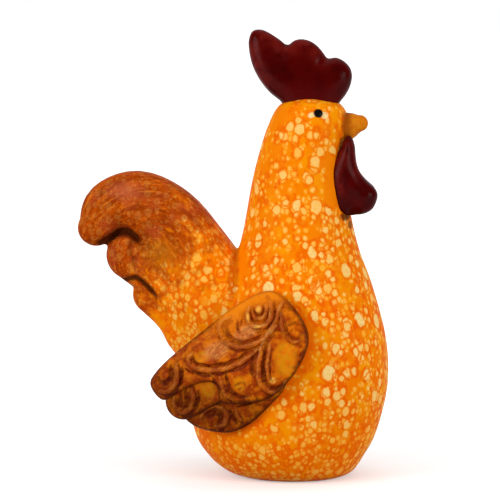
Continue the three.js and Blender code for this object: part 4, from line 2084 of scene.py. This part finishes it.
@dataclass
class Comb:
    """The thick three-lobed comb."""

    seat: Pair = (10.0, 168.6)
    form: Cushion = Cushion(
        "comb_glazed",
        (
            (-10.0, -7.0), (-13.0, -1.6), (-18.0, 2.5), (-22.8, 8.5), (-26.0, 15.0), (-27.5, 22.1),
            (-27.4, 26.6), (-25.8, 29.9), (-22.2, 30.6), (-18.0, 28.9), (-13.8, 26.2),
            (-10.3, 24.0), (-7.4, 25.7), (-4.4, 26.4), (-0.6, 25.7), (2.9, 23.5), (5.8, 20.2),
            (7.8, 18.0), (11.2, 18.3), (14.8, 16.7), (17.6, 13.7), (18.5, 10.3), (17.7, 5.6),
            (15.5, 1.4), (13.0, -1.8), (10.0, -7.0),
        ),
        half_thick=6.6,
        rim=7.5,
        valleys=(
            ((-10.3, 24.5), (-13.0, 18.5), (-15.2, 13.5)),
            ((7.6, 18.5), (4.6, 14.5), (2.4, 10.5)),
        ),
        valley_width=4.2,
        valley_depth=1.1,
        thin_top=0.3,
    )

    def build(self, figure: Figure) -> Piece:
        """Models the comb."""
        return self.form.build(figure.at(*self.seat))

    def dress(self, comb: Piece, material: Material) -> None:
        """Glazes the comb."""
        dress(comb, Slot.OXBLOOD, material, "comb")


@dataclass
class Wattles:
    """The pair of wattles, each a drop with a forward lobe."""

    throat: Pair = (25.4, 148.0)
    side: float = -7.2
    form: Cushion = Cushion(
        "wattle_right_glazed",
        (
            (1.8, 5.0), (3.6, 3.8), (4.9, 0.2), (5.3, -4.2), (5.8, -7.8), (7.0, -11.0),
            (8.8, -13.7), (11.3, -16.3), (13.8, -18.5), (15.1, -21.4), (14.4, -24.8), (12.8, -27.8),
            (9.8, -29.7), (6.6, -30.4), (3.6, -30.7), (0.2, -30.6), (-3.2, -29.4), (-5.4, -25.8),
            (-6.2, -21.5), (-6.8, -16.6), (-6.4, -11.3), (-4.6, -6.8), (-2.2, -2.0), (0.2, 3.0),
        ),
        half_thick=5.5,
        rim=7.0,
        valleys=(((3.4, -30.2), (4.8, -25.0), (5.8, -19.0)),),
        valley_width=4.4,
        valley_depth=1.9,
        # Painted highlight: upper-left edges, and a streak down the middle of the drop.
        highlight_from=26.0,
        gleam=((-0.4, -6.0), (-1.6, -12.0), (-1.6, -18.0), (0.4, -23.0)),
    )
    far_step: float = -1.4

    def build(self, figure: Figure) -> dict[Side, Piece]:
        """Models the right wattle and sets its mirror image a little further back on the left.

        Args:
            figure: Places on the figure.

        Returns:
            The wattles by side.
        """
        right = self.form.build(figure.at(*self.throat), self.side)
        left = mirrored(right, "wattle_left_glazed")
        Bench.place(left, Bench.points(left) + (self.far_step, 0.0, 0.0))
        return {Side.RIGHT: right, Side.LEFT: left}

    def dress(self, pair: dict[Side, Piece], material: Material) -> None:
        """Glazes both wattles."""
        dress(pair[Side.RIGHT], Slot.OXBLOOD, material, "wattle_right")
        dress(pair[Side.LEFT], Slot.OXBLOOD, material, "wattle_left")


@dataclass
class Beak:
    """The short closed beak."""

    face: Pair = (26.8, 159.0)
    form: Horn = Horn(
        "beak_glazed",
        ((-10.8, -3.6, 7.5, 6), (-1.8, -2.8, 6.8, 5.4), (2.8, -1.7, 5.1, 4.1), (5.2, -1.25, 3.7, 2.9)),
    )
    grain: float = 0.4
    strokes: int = 6

    def build(self, figure: Figure) -> Piece:
        """Models the beak.

        Args:
            figure: Places on the figure.

        Returns:
            The beak.
        """
        beak = self.form.build(figure.at(*self.face))
        Bench.knead(beak, self.grain, self.strokes)
        return beak

    def dress(self, beak: Piece) -> None:
        """Glazes the beak."""
        dress(beak, Slot.BEAK, Ochre().material(), "beak")


@dataclass
class Eyes:
    """Enamel beads, flattened into lenses on the sides of the head."""

    segments: int = 40
    rings: int = 24
    radius: float = 1.95
    bulge: float = 0.45
    lift: float = 21.0
    turn: float = 15.0
    step: float = 0.8
    proud: float = 0.8

    def build(self) -> dict[Side, Piece]:
        """Models the right eye in its socket and mirrors it to the left.

        Returns:
            The eyes by side.
        """
        low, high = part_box("eye_right")
        middle = Vector((0.0, 0.0, 0.0))
        seat = (low + high) / 2 + Vector((self.step * MM, 0.0, 0.0))
        seat.y = low.y + self.proud * MM
        Bench.clear()
        bpy.ops.mesh.primitive_uv_sphere_add(
            segments=self.segments, ring_count=self.rings, radius=self.radius * MM
        )
        bead = bpy.context.object
        bead.name = bead.data.name = "eye_right_enamel"
        bpy.ops.object.mode_set(mode="EDIT")
        bpy.ops.mesh.select_all(action="SELECT")
        bpy.ops.transform.resize(value=(1.0, self.bulge, 1.0), center_override=middle)
        for axis, angle in (("X", self.lift), ("Z", -self.turn)):
            bpy.ops.transform.rotate(
                value=math.radians(angle), orient_axis=axis, center_override=middle
            )
        bpy.ops.transform.translate(value=seat)
        bpy.ops.object.mode_set(mode="OBJECT")
        return {Side.RIGHT: bead, Side.LEFT: mirrored(bead, "eye_left_enamel")}

    def dress(self, pair: dict[Side, Piece]) -> None:
        """Enamels both eyes.

        Args:
            pair: The eyes by side.
        """
        material = Enamel().material()
        dress(pair[Side.RIGHT], Slot.ENAMEL, material, "eye_right")
        dress(pair[Side.LEFT], Slot.ENAMEL, material, "eye_left")


def mirrored(item: Piece, name: str) -> Piece:
    """Copies a piece to the other side of the figure with its faces turned back outwards.

    Args:
        item: The piece on one side.
        name: Name of the copy.

    Returns:
        The copy, with its own mesh.
    """
    Bench.pick(item)
    bpy.ops.object.duplicate()
    copy = bpy.context.object
    copy.name = copy.data.name = name
    copy.scale = (1.0, -1.0, 1.0)
    bpy.ops.object.transform_apply(location=False, rotation=False, scale=True)
    Bench.turn_out(copy)
    return copy


@dataclass(frozen=True)
class Marks:
    """What the tools leave on a slab, and its scrolls' painted highlight and shadow, vertex by vertex:
    heights in millimetres and shares.
    """

    relief: Array
    sunk: Array
    beside: Array
    crest_highlight: Array
    cast: Array
    pools: Array


@dataclass
class Wings:
    """Both wings: a scrolled cover lapped over two shorter feathers, domed over the belly."""

    centre: Pair = WING_CENTRE
    dome: Triple = (80.0, 47.0, 62.0)
    edge: float = 1.7
    grain: float = 0.36
    stray: float = 0.16
    stray_pitch: Pair = (0.9, 0.55)
    stray_swing: float = 1.7
    stray_start: Pair = (0.0, 1.0)
    uneven: float = 0.15
    sway: float = 0.22
    sway_pitch: Triple = (0.55, 0.4, 0.5)
    sway_swing: float = 1.3
    # Step towards the light, up and back, for the painted highlight and shadow of the scrolls.
    glance: Pair = (-0.55, 0.75)
    glance_far: float = 1.8
    glance_sharp: float = 1.9
    beside_near: Pair = (0.6, 1.0)
    beside_far: Pair = (2.3, 1.0)
    beside_top: float = 0.4
    beside_depth: float = 0.35
    beside_stain: float = 0.4
    cast_shadow_weight: float = 0.8
    pool_depth: float = 0.4
    relief_full: float = 0.7
    sunk_full: float = 0.6
    rear: Pair = (-6.0, -34.0)
    rear_dull: float = 0.5
    upper: Pair = (4.0, 28.0)
    upper_fade: float = 0.6
    back_shade: float = 0.6
    shade_lean: Pair = (0.25, 1.0)
    shade_reach: Pair = (0.0, -22.0)
    brim_least: float = 0.8
    brim_more: float = 2.6
    brim_full: float = 0.2
    brim_coarse: Pair = (0.35, 0.37)
    brim_bend: Pair = (2.0, 0.11)
    brim_fine: Pair = (0.2, 1.1)
    # Painted shade along each slab's edge: angle round the slab in degrees and how dark, heaviest low
    # down and on the right.
    edge_shade: Path = (
        (-75.0, 0.8), (-20.0, 0.75), (30.0, 0.6), (55.0, 0.1), (112.0, 0.1), (130.0, 0.55),
        (165.0, 0.45), (185.0, 0.3), (230.0, 0.7),
    )
    shoulder: Path = ((-38.0, 19.0), (-17.0, 34.5), (-11.0, 37.5), (-3.0, 38.0))
    shoulder_reach: Pair = (8.5, 0.5)
    shoulder_start: Pair = (0.0, 0.25)
    slabs: tuple[Slab, ...] = (
        Slab(
            "cover",
            "cover",
            COVER_OUTLINE,
            depth=0.0,
            sheet=7.0,
            strokes=COVER_STROKES,
            pockets=COVER_POCKETS,
            rosy_highlights=COVER_ROSY_HIGHLIGHTS,
            brights=COVER_BRIGHTS,
        ),
        Slab(
            "middle",
            "middle_feather",
            MIDDLE_OUTLINE,
            depth=2.0,
            sheet=6.0,
            strokes=MIDDLE_STROKES,
            pockets=(Pocket(-33.0, -4.5, 4.6, 4.4, 28.0),),
        ),
        Slab(
            "lower", "lower_feather", LOWER_OUTLINE, depth=4.0, sheet=5.0, strokes=LOWER_STROKES
        ),
    )

    LEAST_DOME = 0.05

    def _marks(self, slab: Slab, plan: Array) -> Marks:
        """Runs the tools over a slab with a slightly unsteady hand, and works out the painted highlight
        and shadow.

        Args:
            slab: The slab.
            plan: Rows of x and z from the middle of the wing.

        Returns:
            What the tools leave.
        """
        pitch, slow = self.stray_pitch
        swing = self.stray_swing * np.sin(plan * slow + self.stray_start)
        wander = np.sin(plan[:, ::-1] * pitch + swing)
        drawn = plan + self.stray * wander
        glance = np.array(self.glance)
        relief = sunk = beside = crest_highlight = cast = pools = np.zeros(len(plan))
        for stroke in slab.strokes:
            rise, reach = stroke.height_at(drawn)
            if stroke.cut is Cut.GROOVE:
                sunk = np.maximum(sunk, rise)
                continue
            # Painted highlight on the side facing the light, painted shadow on the side away from it.
            lit, _ = stroke.height_at(drawn + glance)
            far, _ = stroke.height_at(drawn + self.glance_far * glance)
            flank = smoothstep(*self.beside_near, reach) * smoothstep(*self.beside_far, reach)
            relief = np.maximum(relief, rise)
            crest_highlight = np.maximum(crest_highlight, np.clip(self.glance_sharp * (rise - lit), 0, 1))
            cast = np.maximum(cast, np.clip(self.glance_sharp * (far - rise), 0, 1))
            beside = np.maximum(beside, flank)
        for pocket in slab.pockets:
            pools = np.maximum(pools, pocket.depth(plan))
        beside = beside * (1 - np.clip(relief / self.beside_top, 0, 1))
        relief = relief * (1 + self.uneven * wander[:, 0])
        return Marks(relief, sunk, beside, crest_highlight, cast, pools)

    def _carve(self, sheet: Piece, slab: Slab, centre: Pair) -> None:
        """Raises the scrolls, sinks the grooves and domes the sheet over the belly.

        Args:
            sheet: The flat sheet.
            slab: The slab that it becomes.
            centre: Row x and z of the middle of the wing.
        """
        flat = Bench.points(sheet)
        plan = flat[:, :2]
        x, z = plan.T
        marks = self._marks(slab, plan)
        depth = flat[:, 2] - slab.sheet / 2
        front = smoothstep(-self.edge, 0.0, depth)
        wave, bend, roll = self.sway_pitch
        sway = self.sway * np.sin(x * wave + self.sway_swing * np.sin(z * bend)) * np.cos(z * roll)
        pools = self.pool_depth * marks.pools * (1 - np.clip(marks.relief, 0, 1))
        lift = marks.relief - marks.sunk - self.beside_depth * marks.beside - pools + sway
        length, crown, tall = self.dome
        share = np.sqrt(np.clip(1 - (x / length) ** 2 - (z / tall) ** 2, self.LEAST_DOME, 1.0))
        across = -((crown - slab.depth) * share + depth + lift * front)
        Bench.place(sheet, np.stack([x + centre[0], across, z + centre[1]], axis=1))
        self._paint(sheet, slab, plan, marks, front)

    def _paint(self, sheet: Piece, slab: Slab, plan: Array, marks: Marks, front: Array) -> None:
        """Paints what the stain reads, with the painted highlight, shadow and shade.

        Args:
            sheet: The carved sheet.
            slab: The slab that it is.
            plan: Rows of x and z from the middle of the wing.
            marks: What the tools left.
            front: Which vertices lie on the outer face, 0 to 1.
        """
        x, z = plan.T
        # The stain beside the scrolls and their painted shadow join the grooves, fading towards the
        # top; the painted highlight fades towards the back.
        shadow = self.beside_stain * marks.beside + self.cast_shadow_weight * marks.cast
        low = np.clip(marks.sunk / self.sunk_full + shadow, 0, 1)
        low *= 1 - self.upper_fade * smoothstep(*self.upper, z)
        dull = self.rear_dull * smoothstep(*self.rear, x)
        gap, along = Sheet.nearest(plan, np.array(self.shoulder))
        shoulder = smoothstep(*self.shoulder_reach, gap) * smoothstep(*self.shoulder_start, along)
        Bench.paint(sheet, "relief", np.clip(marks.relief / self.relief_full, 0, 1) * front)
        Bench.paint(sheet, "crest_highlight", marks.crest_highlight * front * (1 - dull))
        # Painted shade on the back and the side walls of each slab.
        Bench.paint(sheet, "groove", low * front + self.back_shade * (1 - front))
        Bench.paint(sheet, "edge_shade", self._edge_shade(slab, plan))
        Bench.paint(sheet, "pocket", marks.pools * (1 - np.clip(marks.beside, 0, 1)))
        # The pinkish painted highlight and the pale spots, on the outer face.
        for name, spots in (("blush", slab.rosy_highlights), ("bright", slab.brights)):
            depths = [np.zeros(len(plan))] + [spot.depth(plan) for spot in spots]
            Bench.paint(sheet, name, np.max(depths, axis=0) * front)
        Bench.paint(sheet, "shoulder", shoulder)
        Bench.paint(sheet, "shade", smoothstep(*self.shade_reach, plan @ np.array(self.shade_lean)))

    def _edge_shade(self, slab: Slab, plan: Array) -> Array:
        """Works out the painted shade along the ragged edge of a slab.

        Args:
            slab: The slab.
            plan: Rows of x and z from the middle of the wing.

        Returns:
            How dark each place is, 0 to 1.
        """
        inset, _ = Sheet.nearest(plan, Sheet.rim(slab.outline))
        around = np.degrees(np.arctan2(*(plan - plan.mean(axis=0)).T[::-1]))
        amount = np.interp(around, *np.array(self.edge_shade).T, period=FULL_TURN)
        (coarse, pitch), (bend, slow), (fine, quick) = self.brim_coarse, self.brim_bend, self.brim_fine
        ragged = 1 + coarse * np.sin(around * pitch + bend * np.sin(around * slow))
        ragged += fine * np.sin(around * quick)
        reach = (self.brim_least + self.brim_more * amount) * ragged
        return smoothstep(reach, self.brim_full, inset) * amount

    def build(self, figure: Figure) -> dict[tuple[Side, str], Piece]:
        """Models the right wing slab by slab and mirrors each slab to the left.

        Args:
            figure: Places on the figure.

        Returns:
            The slabs by side and CAD name.
        """
        centre = figure.at(*self.centre)
        made = {}
        for slab in self.slabs:
            sheet = Sheet.cut(slab.name, slab.outline, slab.sheet, self.edge, self.grain)
            self._carve(sheet, slab, centre)
            sheet.name = sheet.data.name = f"wing_right_{slab.name}_carved"
            Bench.turn_out(sheet)
            made[Side.RIGHT, slab.node] = sheet
            made[Side.LEFT, slab.node] = mirrored(sheet, f"wing_left_{slab.name}_carved")
        return made

    def dress(self, made: dict[tuple[Side, str], Piece]) -> None:
        """Stains every slab."""
        material = WingStain().material()
        for (side, node), sheet in made.items():
            dress(sheet, Slot.WING, material, f"wing_{side.name.lower()}_{node}")


@dataclass(frozen=True)
class Lamp:
    """A soft square lamp: its place and side in metres and its power in watts."""

    name: str
    place: Triple
    size: float
    power: float

    def hang(self, aim: Vector) -> None:
        """Hangs the lamp so that it looks at a place.

        Args:
            aim: The place in metres.
        """
        Bench.clear()
        bpy.ops.object.light_add(type="AREA", location=self.place)
        lamp = bpy.context.object
        lamp.name = self.name
        lamp.data.energy = self.power
        lamp.data.size = self.size
        lamp.rotation_euler = (aim - Vector(self.place)).to_track_quat("-Z", "Y").to_euler()


@dataclass
class Studio:
    """Pale floor, soft lamps and the camera."""

    azimuth: float = 6.0
    elevation: float = 5.0
    distance: float = 1.2
    lens: float = 193.3
    sensor: float = 36.0
    far_clip: float = 200.0
    aim: Triple = (0.0, 0.0, 0.1)
    slide: float = 0.00776
    lift: float = 0.00088
    white: Colour = hue("FFFFFF")
    floor_half: float = 30.0
    floor_unseen: Colour = hue("C8C6C4")
    floor_low: Colour = hue("F4F4F4")
    floor_high: Colour = hue("FAFAFA")
    floor_grain: float = 40.0
    floor_detail: float = 2.0
    floor_rough: float = 0.9
    floor_glow: Ramp = Ramp(60.0, 400.0, 0.34, 0.75)
    lamps: tuple[Lamp, ...] = (
        Lamp("key", (-0.95, -0.8, 0.48), 0.7, 8.7),
        Lamp("fill", (1.0, -0.7, 0.4), 0.6, 6.2),
        Lamp("top", (0.1, 0.1, 1.2), 0.9, 2.2),
    )
    sky: float = 0.5
    backdrop: Ramp = Ramp(0.0, 0.4, 0.12, 1.0)

    def build(self) -> None:
        """Sets up the floor, the lamps, the sky and the camera."""
        self._floor()
        for lamp in self.lamps:
            lamp.hang(Vector(self.aim))
        self._sky()
        self._camera()
        bpy.context.scene.view_settings.view_transform = "Standard"

    def _floor(self) -> None:
        """Lays a pale floor that keeps the shadow and runs out into white."""
        Bench.clear()
        bpy.ops.mesh.primitive_plane_add(size=2 * self.floor_half)
        floor = bpy.context.object
        floor.name = floor.data.name = "floor"
        graph = Graph("pale_floor")
        path = graph.node("ShaderNodeLightPath").outputs
        seen = graph.math("MAXIMUM", path["Is Glossy Ray"], path["Is Transmission Ray"])
        seen = graph.math("MAXIMUM", path["Is Camera Ray"], seen)
        place = graph.place()
        cloud = graph.noise(place, self.floor_grain, self.floor_detail)
        paper = graph.mix(cloud, self.floor_low, self.floor_high)
        glow = graph.ramp(graph.vector("LENGTH", place), self.floor_glow)
        floor.data.materials.append(
            graph.finish(
                Base_Color=graph.mix(seen, self.floor_unseen, paper),
                Roughness=self.floor_rough,
                Specular_IOR_Level=0.0,
                Emission_Color=self.white,
                Emission_Strength=graph.times(seen, glow),
            )
        )

    def _sky(self) -> None:
        """Fills the surroundings with even light, white where camera and reflections see them."""
        world = bpy.data.worlds.new("surroundings")
        bpy.context.scene.world = world
        world.use_nodes = True
        nodes = Nodes(world.node_tree)
        path = nodes.node("ShaderNodeLightPath").outputs
        mirror = nodes.math("MAXIMUM", path["Is Glossy Ray"], path["Is Transmission Ray"])
        _, away, _ = nodes.axes(nodes.node("ShaderNodeTexCoord").outputs["Generated"])
        change = nodes.math("SUBTRACT", nodes.ramp(away, self.backdrop), self.sky)
        level = nodes.math("MULTIPLY_ADD", mirror, change, self.sky)
        background = world.node_tree.nodes["Background"]
        background.inputs["Color"].default_value = self.white
        nodes.feed(background.inputs["Strength"], nodes.math("MAXIMUM", path["Is Camera Ray"], level))

    def _camera(self) -> None:
        """Sets the camera at the photograph's view angle."""
        turn, rise = math.radians(self.azimuth), math.radians(self.elevation)
        right = Vector((math.cos(turn), math.sin(turn), 0.0))
        back = Vector(
            (math.sin(turn) * math.cos(rise), -math.cos(turn) * math.cos(rise), math.sin(rise))
        )
        up = back.cross(right)
        aim = Vector(self.aim) + right * self.slide + up * self.lift
        bpy.ops.object.camera_add(location=aim + back * self.distance)
        camera = bpy.context.object
        camera.rotation_euler = (-back).to_track_quat("-Z", "Y").to_euler()
        camera.data.lens = self.lens
        camera.data.sensor_width = self.sensor
        camera.data.clip_end = self.far_clip
        bpy.context.scene.camera = camera


def main() -> None:
    """Builds, dresses and lights the rooster."""
    logging.basicConfig(level=logging.INFO, format="%(name)s: %(message)s")
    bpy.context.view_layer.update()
    figure = Figure()
    skin = GlazedSkin()
    skin.dress(skin.build(figure), figure)
    red = Oxblood().material()
    comb = Comb()
    comb.dress(comb.build(figure), red)
    wattles = Wattles()
    wattles.dress(wattles.build(figure), red)
    beak = Beak()
    beak.dress(beak.build(figure))
    eyes = Eyes()
    eyes.dress(eyes.build())
    wings = Wings()
    wings.dress(wings.build(figure))
    dress(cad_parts["base_slab"], Slot.CLAY, BareClay().material())
    Studio().build()


if __name__ == "__main__":
    main()
